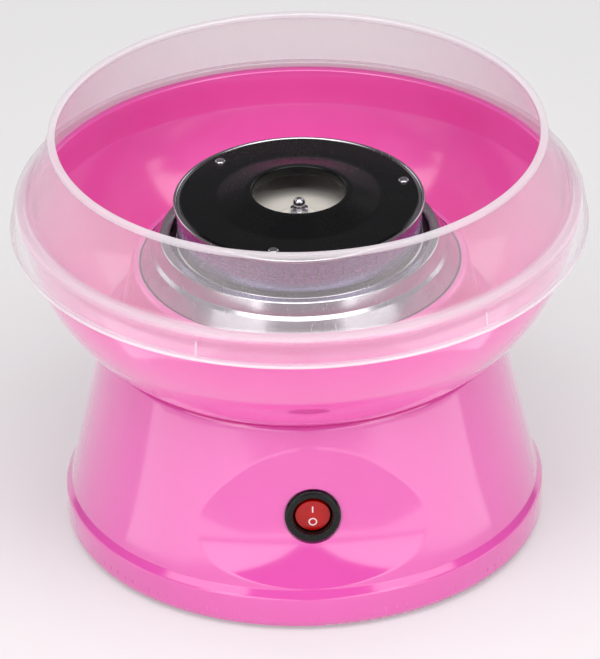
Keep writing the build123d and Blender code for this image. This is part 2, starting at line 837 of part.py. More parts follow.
def reflector_pan():
    """Polished pan under the head: sloped rim, upright wall and flat floor with a centre hole."""
    path = [
        (pan_rim_radius, pan_rim_height - pan_hem),
        (pan_rim_radius, pan_rim_height),
        (pan_step_radius, pan_rim_height - pan_step_drop),
        (pan_floor_radius, pan_floor_height),
        (pan_hole_radius, pan_floor_height),
    ]
    pan = formed_sheet(path, sheet, pan_bend)
    for x, y in element_leg_places():
        pan -= Pos(x, y, 0) * post(leg_bush_hole_radius, pan_underside - past, pan_floor_height + past)
    for hole in polar_posts(small_screw_radius + screw_hole_gap, pan_underside - past, pan_floor_height + past,
                            standoff_ring_radius, standoff_angles):
        pan -= hole
    return pan


def pan_standoffs():
    """Spacer tubes between bracket and pan."""
    tubes = []
    for angle in standoff_angles:
        tube = post(standoff_radius, bracket_top, pan_underside, standoff_ring_radius, angle)
        tube -= post(small_screw_radius + screw_hole_gap, bracket_top - past, pan_underside + past,
                     standoff_ring_radius, angle)
        tubes.append(tube)
    return Compound(children=tubes)


def pan_screws():
    """Long screws down through pan, standoffs and bracket."""
    length = pan_floor_height - bracket_height + pan_screw_end
    return screws(small_screw_radius, screw_head_height, pan_floor_height, length, standoff_ring_radius, standoff_angles)


def element_end_angles():
    """Angles at which the element's ring stops short, either side of the rear."""
    return 90 - element_gap_angle / 2, 90 + element_gap_angle / 2


def element_leg_places():
    """Centres of the element's two upright legs, one bend radius beyond each end of the ring."""
    places = []
    for angle, way in zip(element_end_angles(), (1, -1)):
        x = element_ring_radius * cos(radians(angle)) - way * element_bend_radius * sin(radians(angle))
        y = element_ring_radius * sin(radians(angle)) + way * element_bend_radius * cos(radians(angle))
        places.append((x, y))
    return places


def heating_element():
    """Tubular ring whose two ends bend down through the pan's floor."""
    start, stop = element_end_angles()
    tube = Plane.XZ * Pos(element_ring_radius, element_height) * Circle(element_tube_radius)
    element = Rot(0, 0, stop) * revolve(tube, Axis.Z, 360 - element_gap_angle)
    leg_top = element_height - element_bend_radius
    for angle, way, (x, y) in zip((start, stop), (1, -1), element_leg_places()):
        bend = revolve(tube, Axis((element_ring_radius, 0, leg_top), (1, 0, 0)), -90 * way)
        element += Rot(0, 0, angle) * bend
        element += Pos(x, y, 0) * post(element_tube_radius, element_leg_end, leg_top)
    return element


def element_holders():
    """Ceramic saddles that carry the ring on the pan's floor."""
    top = element_height - screw_hole_gap
    saddle = Pos(element_ring_radius, 0, (pan_floor_height + top) / 2)
    saddle *= Box(holder_width, holder_length, top - pan_floor_height)
    groove = Pos(element_ring_radius, 0, element_height) * Rot(90, 0, 0)
    saddle -= groove * Cylinder(element_tube_radius + element_fit * 2.5, holder_length * 2)
    return Compound(children=[Rot(0, 0, angle) * saddle for angle in holder_angles])


def leg_bushes():
    """Ceramic bushes round the element's legs in the pan's floor."""
    bore = element_tube_radius + element_fit
    ring = turned(outline(
        (bore, pan_floor_height - leg_bush_height),
        (leg_bush_radius - leg_bush_neck_step, pan_floor_height - leg_bush_height),
        (leg_bush_radius - leg_bush_neck_step, pan_underside - leg_bush_lip),
        (leg_bush_radius, pan_underside - leg_bush_lip),
        (leg_bush_radius, pan_underside),
        (bore, pan_underside),
    ))
    return Compound(children=[Pos(x, y, 0) * ring for x, y in element_leg_places()])


def thermostat():
    """Bimetal disc thermostat under the pan, with two blades."""
    ring_radius, angle = thermostat_place
    bottom = pan_underside - thermostat_height
    body = post(thermostat_radius, bottom, pan_underside)
    for way in (-1, 1):
        blade = Pos(way * thermostat_radius / 2, 0, bottom - thermostat_blade_height / 2)
        body += blade * Box(blade_thickness, terminal_width, thermostat_blade_height)
    return Rot(0, 0, angle) * Pos(ring_radius, 0, 0) * body


def thermal_fuse():
    """Small axial fuse lying on the bracket in a clip."""
    ring_radius, angle = fuse_place
    middle = bracket_top + fuse_radius + fuse_clip_height * 2 / 3
    body = Pos(0, 0, middle) * Rot(90, 0, 0) * Cylinder(fuse_radius, fuse_length)
    clip = Box(fuse_radius * 2.4, fuse_length / 2, fuse_clip_height)
    body += Pos(0, 0, bracket_top + fuse_clip_height / 2) * clip
    return Rot(0, 0, angle) * Pos(ring_radius, 0, 0) * body


# ---- rectifier board ----------------------------------------------------------------------------------
def rectifier_board():
    board = Pos(board_centre[0], board_centre[1], board_bottom + board_thickness / 2)
    board *= Box(board_length, board_width, board_thickness)
    for x, y in board_corners():
        board -= Pos(x, y, 0) * post(small_screw_radius + screw_hole_gap, board_bottom - past, board_top + past)
    return board


def board_screws():
    screw = screws(small_screw_radius, screw_head_height, board_top, board_screw_length, 0, (0,)).solids()[0]
    return Compound(children=[Pos(x, y, 0) * screw for x, y in board_corners()])


def board_diodes():
    """Four rectifier diodes in a row on the board."""
    diode = Pos(0, board_centre[1], board_top + diode_radius) * Rot(90, 0, 0) * Cylinder(diode_radius, diode_length)
    first = board_centre[0] + diode_row_start
    return Compound(children=[Pos(first + index * diode_spacing, 0, 0) * diode for index in range(diode_count)])


def board_capacitor():
    can = Pos(board_centre[0] + capacitor_offset, board_centre[1], 0)
    can *= post(capacitor_radius, board_top, board_top + capacitor_height)
    return fillet(can.edges().filter_by(GeomType.CIRCLE).sort_by(Axis.Z)[-1], capacitor_round)


# ---- spinner ----------------------------------------------------------------------------------------
def motor_shaft():
    shaft = post(shaft_radius, motor_bottom + bell_bearing_step + slip_gap, hub_foot_height + shaft_engagement)
    return chamfer(shaft.edges().filter_by(GeomType.CIRCLE), fine_round)


def motor_rotor():
    """Slotted core and its windings on the shaft."""
    bottom = motor_bell_top + magnet_end_gap + past
    middle = bottom + rotor_length / 2
    core = post(rotor_radius, bottom, bottom + rotor_length)
    slot = Pos(rotor_radius, 0, middle) * Box(rotor_slot_depth, rotor_slot_width, rotor_length + 2 * past)
    pocket = Pos(rotor_radius - rotor_pocket_inset, 0, middle) * Cylinder(rotor_pocket_radius, rotor_length + 2 * past)
    core -= PolarLocations(0, rotor_poles) * (slot + pocket)
    return core - post(hub_socket_radius, bottom - past, bottom + rotor_length + past)


def motor_commutator():
    bottom = motor_bell_top + slip_gap
    ring = post(commutator_radius, bottom, bottom + commutator_length)
    return ring - post(hub_socket_radius, bottom - past, bottom + commutator_length + past)


def head_hub():
    """Turned adapter: socket for the shaft below, flange under the dish, threaded stud above."""
    stud_top = nut_bottom + nut_hex_height - edge_round
    hub = turned(outline(
        (hub_socket_radius, hub_foot_height),
        (hub_radius, hub_foot_height, edge_round),
        (hub_radius, hub_flange_top - hub_flange_thickness, edge_round),
        (hub_flange_radius, hub_flange_top - hub_flange_thickness),
        (hub_flange_radius, hub_flange_top),
        (hub_stud_radius, hub_flange_top),
        (hub_stud_radius, stud_top, fine_round),
        (0, stud_top),
        (0, hub_foot_height + shaft_engagement),
        (hub_socket_radius, hub_foot_height + shaft_engagement),
    ))
    tapping = Pos(hub_radius, 0, hub_foot_height + set_screw_rise) * Rot(0, 90, 0)
    return hub - tapping * Cylinder(set_screw_radius, 2 * hub_radius)


def hub_set_screw():
    """Grub screw through the side of the hub onto the shaft."""
    length = hub_radius - shaft_radius - slip_gap
    middle = shaft_radius + running_gap + length / 2
    place = Pos(middle, 0, hub_foot_height + set_screw_rise) * Rot(0, 90, 0)
    return place * Cylinder(set_screw_radius - running_gap, length)


def head_dish():
    """Steel dish: crowned centre on the hub, lip, lower gutter over the heater and an upright wall."""
    inner_wall = dish_wall_radius - sheet
    path = [
        (inner_wall, dish_wall_top),
        (inner_wall, dish_gutter_height + sheet),
        (dish_gutter_radius, dish_gutter_height + sheet),
        (dish_lip_radius, dish_lip_height),
        (dish_crown_radius + dish_crown_slope, dish_crown_height - dish_crown_step),
        (dish_crown_radius, dish_crown_height),
        (hub_stud_radius + hub_stud_fit, dish_crown_height),
    ]
    dish = formed_sheet(path, sheet, collar_bend)
    for hole in polar_posts(rivet_shank_radius + rivet_fit, dish_gutter_height - past, dish_gutter_height + 2 * past,
                            rivet_ring_radius, rivet_angles):
        dish -= hole
    return dish


def spinneret_band():
    """Upright steel band with a row of fine slots that throw out the melted sugar."""
    band = turned(outline(
        (band_inner_radius, band_bottom),
        (band_outer_radius, band_bottom),
        (band_outer_radius, band_top),
        (band_inner_radius, band_top),
    ))
    slot = Pos(band_outer_radius, 0, slot_middle) * Box(band_sheet * 4, slot_width, slot_height)
    return band - PolarLocations(0, slot_count) * slot


def lid_plate():
    """Steel ring that caps the band, with a rolled bead standing round the black lid."""
    plate = turned(outline(
        (lid_plate_inner_radius, lid_plate_bottom),
        (lid_plate_radius, lid_plate_bottom),
        (lid_plate_radius, lid_plate_top),
        (lid_plate_inner_radius, lid_plate_top),
    ))
    bead_section = Plane.XZ * Pos(lid_plate_radius - lid_bead_inset, lid_plate_top) * Circle(lid_bead_radius)
    plate += revolve(bead_section, Axis.Z)
    for hole in polar_posts(rivet_shank_radius + rivet_fit, lid_plate_bottom - past, lid_plate_top + past,
                            rivet_ring_radius, rivet_angles):
        plate -= hole
    return plate


def head_lid():
    """Black lid: flat rim, smooth cone and a lip that turns down into the sugar mouth."""
    crest_radius = lid_lip_radius + lid_crest_width
    inner_lip = lid_lip_radius + lid_lip_wall
    lid = turned(outline(
        (lid_radius, lid_plate_top),
        (lid_radius, lid_top, edge_round),
        (lid_cone_foot_radius, lid_top, lid_foot_round),
        (crest_radius, lid_lip_height - lid_crest_drop, lid_crest_width),
        (lid_lip_radius, lid_lip_height, soft_round),
        (lid_lip_radius, lid_throat_height, fine_round),
        (inner_lip, lid_throat_height, fine_round),
        (inner_lip, lid_lip_height - 1.8 * lid_thickness, soft_round),
        (crest_radius - lid_crest_drop, lid_lip_height - 1.9 * lid_thickness, lid_crest_width - lid_thickness),
        (lid_cone_foot_radius, lid_plate_top, lid_foot_round - lid_thickness),
    ))
    for hole in polar_posts(rivet_shank_radius + rivet_fit, lid_plate_top - past, lid_top + past,
                            rivet_ring_radius, rivet_angles):
        lid -= hole
    return lid


def lid_rivets():
    """Long rivets that clamp lid, plate, band and dish together."""
    rivet = turned(outline(
        (0, dish_gutter_height - rivet_tail_height),
        (rivet_head_radius, dish_gutter_height - rivet_tail_height, fine_round),
        (rivet_head_radius, dish_gutter_height),
        (rivet_shank_radius, dish_gutter_height),
        (rivet_shank_radius, lid_top),
        (rivet_head_radius, lid_top),
        (rivet_head_radius, lid_top + rivet_head_height, rivet_head_height * 0.8),
        (0, lid_top + rivet_head_height),
    ))
    return Compound(children=[Rot(0, 0, angle) * Pos(rivet_ring_radius, 0, 0) * rivet for angle in rivet_angles])


def lock_washer():
    return turned(outline(
        (hub_stud_radius + hub_stud_fit, washer_bottom),
        (washer_radius, washer_bottom),
        (washer_radius, washer_bottom + washer_thickness, fine_round),
        (hub_stud_radius + hub_stud_fit, washer_bottom + washer_thickness),
    ))


def cap_nut():
    """Hexagon cap nut with a domed top."""
    hex_top = nut_bottom + nut_hex_height
    neck_top = hex_top + nut_dome_neck
    corner_radius = nut_across_flats * 0.62
    hexagon = Pos(0, 0, nut_bottom) * extrude(RegularPolygon(nut_across_flats / 2, 6, major_radius=False),
                                             nut_hex_height)
    cone = turned(outline(
        (0, nut_bottom),
        (corner_radius, nut_bottom),
        (corner_radius, nut_bottom + nut_hex_height * 0.75),
        (nut_dome_radius * 1.05, hex_top),
        (0, hex_top),
    ))
    nut = hexagon & cone
    nut += post(nut_dome_radius * 0.9, hex_top - nut_dome_neck / 4, neck_top + nut_dome_radius / 2)
    nut += Pos(0, 0, neck_top + nut_dome_radius * 0.4) * Sphere(nut_dome_radius)
    return nut - post(hub_stud_radius + press_gap, nut_bottom - past, hex_top)


# ---- bowl and guard -----------------------------------------------------------------------------------
def belly_arc(inset):
    """The bowl's belly from its foot to the upright wall; inset moves it inwards."""
    foot = (bowl_foot_radius, bowl_bottom + inset)
    top = (bowl_belly_radius - inset, bowl_belly_height)
    chord = hypot(top[0] - foot[0], top[1] - foot[1])
    out = ((top[1] - foot[1]) / chord, -(top[0] - foot[0]) / chord)
    middle = ((foot[0] + top[0]) / 2 + out[0] * bowl_belly_bulge, (foot[1] + top[1]) / 2 + out[1] * bowl_belly_bulge)
    return foot, middle, top


def bowl_side(inset, crown_radius, crown_height):
    """Region under the bowl's outer or inner skin, from the axis out to the belly and wall."""
    foot, middle, top = belly_arc(inset)
    edges = Line((0, foot[1]), foot)
    edges += ThreePointArc(foot, middle, top)
    edges += Polyline(top, (crown_radius, crown_height), (0, crown_height), (0, foot[1]))
    return make_face(edges)


def catch_bowl():
    """Ring-shaped bowl: belly, rolled rim, flat floor, and a boss round the tower with a hole in it."""
    rim_bottom = bowl_rim_height - bowl_rim_thickness
    outer = turned(bowl_side(0, bowl_belly_radius + bowl_wall_draft, rim_bottom))
    outer += turned(outline(
        (0, rim_bottom),
        (bowl_rim_outer_radius, rim_bottom, edge_round),
        (bowl_rim_outer_radius, bowl_rim_height, bowl_rim_round),
        (0, bowl_rim_height),
    ))
    shell = outer - turned(bowl_side(bowl_wall, bowl_rim_inner_radius, bowl_rim_height + past))
    boss_inner_foot = bowl_boss_foot_radius - bowl_wall - bowl_boss_shoulder
    boss = turned(outline(
        (bowl_boss_foot_radius, bowl_bottom),
        (bowl_boss_foot_radius, bowl_bottom + bowl_wall, bowl_boss_foot_round),
        (bowl_boss_radius, bowl_boss_height, bowl_boss_crown_round),
        (bowl_hole_radius, bowl_boss_height, edge_round),
        (bowl_hole_radius, bowl_boss_height - bowl_wall, fine_round),
        (boss_inner_foot, bowl_bottom + bowl_wall / 2, edge_round),
        (boss_inner_foot, bowl_bottom),
    ))
    return shell - post(bowl_boss_foot_radius - fine_round, bowl_bottom - past, bowl_rim_height + past) + boss


def splash_guard():
    """Frosted guard: beaded top, flaring wall, flange on the bowl's rim, skirt, hem and small ribs."""
    bead_bottom = guard_height - guard_bead_height
    bead_inner = guard_top_radius - guard_bead_width
    wall_top = guard_top_radius - guard_bead_proud
    shoulder_height = guard_flange_top - guard_shoulder_drop
    foot = guard_foot_radius
    guard = turned(outline(
        (bead_inner, guard_height, guard_bead_round),
        (guard_top_radius, guard_height, guard_bead_round),
        (guard_top_radius, bead_bottom, edge_round),
        (wall_top, bead_bottom),
        (foot, guard_flange_top, guard_shoulder_round),
        (guard_skirt_radius - soft_round, guard_flange_top, guard_shoulder_round),
        (guard_skirt_radius, shoulder_height, guard_shoulder_round),
        (guard_skirt_end_radius, guard_skirt_height + guard_hem_height + guard_bead_proud),
        (guard_skirt_end_radius + guard_hem, guard_skirt_height + guard_hem_height, fine_round),
        (guard_skirt_end_radius + guard_hem, guard_skirt_height, fine_round),
        (guard_skirt_end_radius - guard_wall, guard_skirt_height, fine_round),
        (guard_skirt_radius - guard_wall, shoulder_height, waist_round),
        (guard_skirt_radius - guard_wall - edge_round, guard_flange_bottom, crease_round),
        (foot - guard_wall / 2, guard_flange_bottom, crease_round),
        (foot - guard_wall * 1.6, guard_flange_bottom + guard_wall * 2 / 3, crease_round),
        (wall_top - guard_wall, bead_bottom, fine_round),
        (bead_inner, bead_bottom, fine_round),
    ))
    rib_bottom = guard_skirt_height + guard_hem_height + guard_bead_proud
    rib_top = shoulder_height + guard_hem_height
    rib = Pos(guard_skirt_radius, 0, (rib_bottom + rib_top) / 2)
    rib *= Box(guard_rib_proud * 2 + guard_wall / 2, guard_rib_width, rib_top - rib_bottom)
    for index in range(guard_rib_count):
        guard += Rot(0, 0, guard_rib_first_angle + index * 360 / guard_rib_count) * rib
    return guard


# ---- write every piece ----------------------------------------------------------------------------------
pieces = [
    base_housing, bottom_cover, rubber_feet, cover_screws, cord_bush,
    switch_housing, switch_terminals, rocker_button,
    motor_bracket, isolation_grommets, bracket_screws,
    motor_can, motor_end_bell, motor_terminals, motor_bushing, motor_magnets, motor_screws,
    heat_shield_collar, reflector_pan, pan_standoffs, pan_screws,
    heating_element, element_holders, leg_bushes, thermostat, thermal_fuse,
    rectifier_board, board_screws, board_diodes, board_capacitor,
    motor_shaft, motor_rotor, motor_commutator, head_hub, hub_set_screw,
    head_dish, spinneret_band, lid_plate, head_lid, lid_rivets, lock_washer, cap_nut,
    catch_bowl, splash_guard,
]
os.makedirs("parts", exist_ok=True)
for piece in pieces:
    solid = piece()
    export_step(solid, f"parts/{piece.__name__}.step")
    print(piece.__name__, round(solid.volume), "cubic mm", flush=True)
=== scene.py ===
# %% [markdown]
# # A table-top cotton candy machine
# The real machine is a glossy pink moulded base with a rocker switch, a heated steel head that spins,
# a pink ring-shaped bowl that catches the sugar, and a frosted guard on its rim. Nearly every piece is
# round about one upright axis, so the lesson is mostly about surfaces turned about that axis.
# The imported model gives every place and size. It is loaded first and is never moved.

# %% Load the frame
import json
import bpy
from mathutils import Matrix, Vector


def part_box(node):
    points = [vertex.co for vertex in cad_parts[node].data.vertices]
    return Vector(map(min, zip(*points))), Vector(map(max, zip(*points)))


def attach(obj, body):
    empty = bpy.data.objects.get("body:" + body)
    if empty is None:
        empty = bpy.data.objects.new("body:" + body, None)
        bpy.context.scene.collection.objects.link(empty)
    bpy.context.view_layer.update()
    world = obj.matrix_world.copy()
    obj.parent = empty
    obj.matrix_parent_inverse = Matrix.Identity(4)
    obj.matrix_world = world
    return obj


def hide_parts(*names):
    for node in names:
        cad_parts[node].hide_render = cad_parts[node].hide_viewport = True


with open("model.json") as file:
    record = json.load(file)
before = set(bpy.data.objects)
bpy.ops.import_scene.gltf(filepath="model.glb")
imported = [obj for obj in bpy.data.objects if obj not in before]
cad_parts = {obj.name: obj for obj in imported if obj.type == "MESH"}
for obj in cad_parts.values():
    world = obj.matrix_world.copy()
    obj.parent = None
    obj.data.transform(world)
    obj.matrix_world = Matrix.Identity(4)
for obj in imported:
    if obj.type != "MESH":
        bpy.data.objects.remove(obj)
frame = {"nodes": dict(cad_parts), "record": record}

bpy.context.view_layer.update()

# %% Tools of the lesson
import bmesh
import numpy as np
from mathutils import Matrix, Vector

MM = 0.001
record = frame["record"]
slot_of = {part["node"]: part["material_slot"] for part in record["subparts"]}
body_of = {node: body for body, nodes in record["behaviour"]["bodies"].items() for node in nodes}

# %% [markdown]
# ## The camera
# The photograph looks down on the machine from a long way off, so the ellipses hardly taper. A camera
# could be placed by eye. Here it is worked out instead: the distance, the pitch and the roll are known,
# and so is the pixel where the middle of the machine's foot falls, and three unit vectors do the rest.

# %% Camera
PHOTO_WIDTH = 600
PHOTO_HEIGHT = 659
FOCAL_PIXELS = 9000.0
CAMERA_DISTANCE = 3.75
CAMERA_PITCH = np.radians(30.48)
CAMERA_ROLL = np.radians(-1.14)
CAMERA_TURN = np.radians(-2.0)
FOOT_PIXEL = (305.1, 504.2)
SENSOR = 36.0


def camera_matrix():
    """World matrix: the machine's origin is put at its pixel and distance, then the camera turns about Z."""
    ahead = np.array([0.0, np.cos(CAMERA_PITCH), -np.sin(CAMERA_PITCH)])
    right = np.array([1.0, 0.0, 0.0])
    up = np.array([0.0, np.sin(CAMERA_PITCH), np.cos(CAMERA_PITCH)])
    rolled_right = np.cos(CAMERA_ROLL) * right + np.sin(CAMERA_ROLL) * up
    rolled_up = -np.sin(CAMERA_ROLL) * right + np.cos(CAMERA_ROLL) * up
    across = (FOOT_PIXEL[0] - PHOTO_WIDTH / 2) / FOCAL_PIXELS * CAMERA_DISTANCE
    down = (FOOT_PIXEL[1] - PHOTO_HEIGHT / 2) / FOCAL_PIXELS * CAMERA_DISTANCE
    place = -(across * rolled_right - down * rolled_up + CAMERA_DISTANCE * ahead)
    axes = np.stack([rolled_right, rolled_up, -ahead], axis=1)
    matrix = np.eye(4)
    matrix[:3, :3] = axes
    matrix[:3, 3] = place
    return Matrix.Rotation(CAMERA_TURN, 4, "Z") @ Matrix(matrix.tolist())


eye = bpy.data.cameras.new("photo_camera")
eye.sensor_fit = "VERTICAL"
eye.sensor_height = SENSOR
eye.lens = FOCAL_PIXELS / PHOTO_HEIGHT * SENSOR
camera = bpy.data.objects.new("photo_camera", eye)
camera.matrix_world = camera_matrix()
bpy.context.scene.collection.objects.link(camera)
bpy.context.scene.camera = camera
print("camera at", [round(v, 3) for v in camera.matrix_world.translation], "lens", round(eye.lens, 1))

# %% [markdown]
# ## Shader sums as Python sums
# A finish is a graph of nodes, and graphs are hard to read. This small class wraps a socket, so that
# `1 - mask * 0.3` adds the Math nodes by itself. Every other node comes from one method of the finish.

# %% Values and finishes


class Value:
    """A number somewhere on a surface: an output socket that can be added, taken away and multiplied."""

    def __init__(self, finish, socket):
        self.finish = finish
        self.socket = socket

    def __add__(self, other):
        return self.finish.sum_of("ADD", self, other)

    def __sub__(self, other):
        return self.finish.sum_of("SUBTRACT", self, other)

    def __rsub__(self, other):
        return self.finish.sum_of("SUBTRACT", other, self)

    def __mul__(self, other):
        return self.finish.sum_of("MULTIPLY", self, other)

    def __pow__(self, other):
        return self.finish.sum_of("POWER", self, other)

    __radd__ = __add__
    __rmul__ = __mul__


class Finish:
    """One material in the making."""

    def __init__(self, name):
        self.material = bpy.data.materials.new(name)
        self.material.use_nodes = True
        self.tree = self.material.node_tree
        self.tree.nodes.clear()
        self.place = self.add("ShaderNodeTexCoord", output="Object")

    def add(self, kind, settings=None, inputs=None, output=0):
        """A node of a type: its settings come first, then the values or links of its sockets."""
        node = self.tree.nodes.new(kind)
        for key, value in (settings or {}).items():
            if key == "stops":
                ramp = node.color_ramp
                while len(ramp.elements) < len(value):
                    ramp.elements.new(0.5)
                for element, (position, shade) in zip(ramp.elements, value):
                    element.position = position
                    element.color = (shade, shade, shade, 1.0)
            else:
                setattr(node, key, value)
        for key, value in (inputs or {}).items():
            if isinstance(value, Value):
                self.tree.links.new(value.socket, node.inputs[key])
            else:
                node.inputs[key].default_value = value
        return Value(self, node.outputs[output])

    def sum_of(self, operation, first, second):
        """One Math node on two numbers."""
        return self.add("ShaderNodeMath", {"operation": operation}, {0: first, 1: second})

    def stretched(self, scale, turn=(0.0, 0.0, 0.0)):
        """The object's own coordinates, scaled and turned."""
        return self.add("ShaderNodeMapping", None, {"Vector": self.place, "Scale": scale, "Rotation": turn})

    def noise(self, scale, detail=3.0, place=None, roughness=0.5):
        """Cloudy number about one half; scale is in clouds to the metre."""
        sockets = {"Vector": place or self.place, "Scale": scale, "Detail": detail, "Roughness": roughness}
        return self.add("ShaderNodeTexNoise", None, sockets)

    def ramp(self, value, *stops):
        """A number passed through (position, result) stops."""
        return self.add("ShaderNodeValToRGB", {"stops": stops}, {"Fac": value})

    def part_of(self, axis):
        """One coordinate of the place, in metres: 0, 1 or 2."""
        return self.add("ShaderNodeSeparateXYZ", None, {"Vector": self.place}, output=axis)

    def from_axis(self):
        """Distance from the machine's upright axis, in metres."""
        x = self.part_of(0)
        y = self.part_of(1)
        return (x * x + y * y) ** 0.5

    def between(self, value, low, high):
        """How far a number has come from low to high: 0 before, 1 beyond."""
        return self.add("ShaderNodeMapRange", None, {"Value": value, "From Min": low, "From Max": high})

    def blend(self, share, first, second):
        """Two colours mixed."""
        sockets = {0: share, 6: rgba(first), 7: rgba(second)}
        return self.add("ShaderNodeMix", {"data_type": "RGBA"}, sockets, output=2)

    def bump(self, height, depth, strength=1.0):
        """A normal tilted by a height field; depth is in metres."""
        return self.add("ShaderNodeBump", None, {"Height": height, "Distance": depth, "Strength": strength})

    def shade(self, **sockets):
        """The main shader; a word such as base_color stands for the socket Base Color."""
        named = {word.replace("_", " ").title().replace("Ior", "IOR"): value
                 for word, value in sockets.items()}
        return self.add("ShaderNodeBsdfPrincipled", None, named)

    def done(self, surface):
        """Ends the graph and gives the material."""
        output = self.tree.nodes.new("ShaderNodeOutputMaterial")
        self.tree.links.new(surface.socket, output.inputs["Surface"])
        return self.material


def rgba(colour):
    """A colour of three numbers with its alpha, or a value as it is."""
    return colour if isinstance(colour, Value) else (*colour, 1.0)


def from_screen(red, green, blue):
    """Linear colour of a screen colour given in 0 to 255: the sRGB curve undone."""
    levels = np.array([red, green, blue]) / 255.0
    straight = np.where(levels <= 0.04045, levels / 12.92, ((levels + 0.055) / 1.055) ** 2.4)
    return tuple(float(level) for level in straight)


print("a middle grey of the screen is", [round(level, 3) for level in from_screen(128, 128, 128)])

# %% [markdown]
# ## Glossy moulded pink
# The base and bowl are injection moulded. Such plastic is smooth but never flat: it has a faint flow
# mottle, a slight orange peel in its gloss, hair-fine handling scratches and soft smears.
# A flat colour would read as paint on a screen, so each of these feeds colour, roughness or bump.

# %% Pink plastic


def moulded_pink(name, colour, deep, gloss):
    """Gloss plastic: flow mottle in the colour, orange peel in the bump, scratches in the roughness."""
    finish = Finish(name)
    mottle = finish.noise(14.0, 4.0)
    flow = finish.noise(60.0, 2.0, finish.stretched((1.0, 1.0, 0.25)))
    share = finish.ramp(mottle * 0.6 + flow * 0.4, (0.38, 0.0), (0.62, 1.0))
    body_colour = finish.blend(share * 0.35, colour, deep)
    hair = finish.noise(900.0, 2.0, finish.stretched((1.0, 0.04, 0.3), (0.3, 0.5, 0.8)))
    scratch = finish.ramp(hair, (0.66, 0.0), (0.72, 1.0))
    smear = finish.ramp(finish.noise(22.0, 3.0), (0.45, 0.0), (0.75, 1.0))
    roughness = gloss + scratch * 0.10 + smear * 0.05
    peel = finish.noise(420.0, 1.0) * 0.5 + finish.noise(90.0, 2.0) * 0.5
    normal = finish.bump(peel, 0.00002, 0.5)
    return finish.done(finish.shade(base_color=body_colour, roughness=roughness, normal=normal,
                                    specular_ior_level=1.0, coat_weight=1.0, coat_roughness=0.09))


finishes = {}
finishes["base_pink"] = moulded_pink("base_pink", from_screen(231, 82, 178), from_screen(225, 73, 169), 0.12)
finishes["bowl_pink"] = moulded_pink("bowl_pink", from_screen(240, 92, 180), from_screen(231, 80, 168), 0.13)
print("pink finishes:", list(finishes))

# %% [markdown]
# ## Frosted guard
# The guard is translucent polypropylene: one sees through it, with a milky veil that thickens where the
# wall is seen edge-on and where there is more plastic: the beaded top, the shelf, the rolled hem and the
# ribs. A glass shader would bend the view and need many samples. A thin veil over a transparent surface
# gives the same look. Layer Weight thickens it edge-on, and the place on the guard does the rest. The
# heights and radii where that begins and ends are in metres, as a shader reads them.

# %% Frosted plastic
BEAD_FOOT = (0.17575, 0.17675)
HEM_TOP = (0.13700, 0.13775)
SHELF_INSIDE = (0.11100, 0.11220)
SHELF_UNDERSIDE = (0.14600, 0.14675)
SKIRT_LEAN = 0.1
RIB_FLANK = (0.13188, 0.13218)


def frosted_guard(name):
    """A milky veil on a clear sheet: its share grows edge-on and where the moulding is thick.

    The skirt leans out by a tenth of its height, so radius plus height times the lean is one number all
    over its outer face, and a rib is where that sum is larger.
    """
    finish = Finish(name)
    edge_on = finish.add("ShaderNodeLayerWeight", None, {"Blend": 0.5}, output="Facing")
    cloud = finish.noise(18.0, 4.0)
    grain = finish.noise(700.0, 2.0)
    radius = finish.from_axis()
    height = finish.part_of(2)
    bead = finish.between(height, *BEAD_FOOT)
    hem = 1 - finish.between(height, *HEM_TOP)
    shelf = finish.between(radius, *SHELF_INSIDE) * finish.between(height, *SHELF_UNDERSIDE)
    rib = finish.between(radius + height * SKIRT_LEAN, *RIB_FLANK)
    thick = bead * 0.34 + hem * 0.30 + shelf * 0.20 + rib * 0.30
    veil = 0.11 + edge_on * 0.36 + thick + (cloud - 0.5) * 0.05 + (grain - 0.5) * 0.04
    tint = finish.blend(cloud, from_screen(243, 235, 240), from_screen(235, 227, 232))
    roughness = 0.16 + finish.ramp(finish.noise(30.0, 3.0), (0.4, 0.0), (0.8, 1.0)) * 0.08
    normal = finish.bump(finish.noise(260.0, 2.0), 0.00003, 0.4)
    return finish.done(finish.shade(base_color=tint, roughness=roughness, normal=normal, alpha=veil,
                                    specular_ior_level=0.6, coat_weight=0.6, coat_roughness=0.08))


finishes["guard_frosted"] = frosted_guard("guard_frosted")
print("the guard's finish has", len(finishes["guard_frosted"].node_tree.nodes), "nodes")

# %% [markdown]
# ## Steel, brass and the other metals
# The collar is polished, the dish is stamped and left satin, and screws are zinc plated. The band's steel
# has painted shade: its dark violet tone stands for the shade and dark reflections it shows through the
# guard's veil. Turned and stamped metal keeps marks that run round the axis. The distance from the axis is
# the pattern's coordinate, so the marks are true circles on every turned piece.

# %% Metals


def round_marks(finish, scale):
    """Fine rings about the Z axis: noise read along the radius and the height only."""
    place = finish.add("ShaderNodeCombineXYZ", None, {"X": finish.from_axis(), "Z": finish.part_of(2)})
    return finish.noise(scale, 3.0, place)


def steel(name, light, dark, rough, ring_share, tarnish, metal):
    """Metal with ring marks, cloudy polish and small bright scratches."""
    finish = Finish(name)
    rings = round_marks(finish, 2200.0)
    cloud = finish.noise(45.0, 4.0)
    spots = finish.ramp(finish.noise(160.0, 5.0), (0.58, 0.0), (0.70, 1.0))
    share = finish.ramp(cloud * 0.7 + rings * 0.3, (0.35, 0.0), (0.65, 1.0))
    colour = finish.blend(share * 0.6 + spots * tarnish, light, dark)
    hair = finish.noise(1200.0, 2.0, finish.stretched((1.0, 0.05, 0.4), (0.2, 0.9, 0.4)))
    scratch = finish.ramp(hair, (0.64, 0.0), (0.70, 1.0))
    roughness = rough + (rings - 0.5) * ring_share + cloud * 0.06 + scratch * 0.12 + spots * tarnish * 0.3
    normal = finish.bump(rings * 0.7 + finish.noise(300.0, 2.0) * 0.3, 0.00001, 0.35)
    return finish.done(finish.shade(base_color=colour, metallic=metal, roughness=roughness, normal=normal))


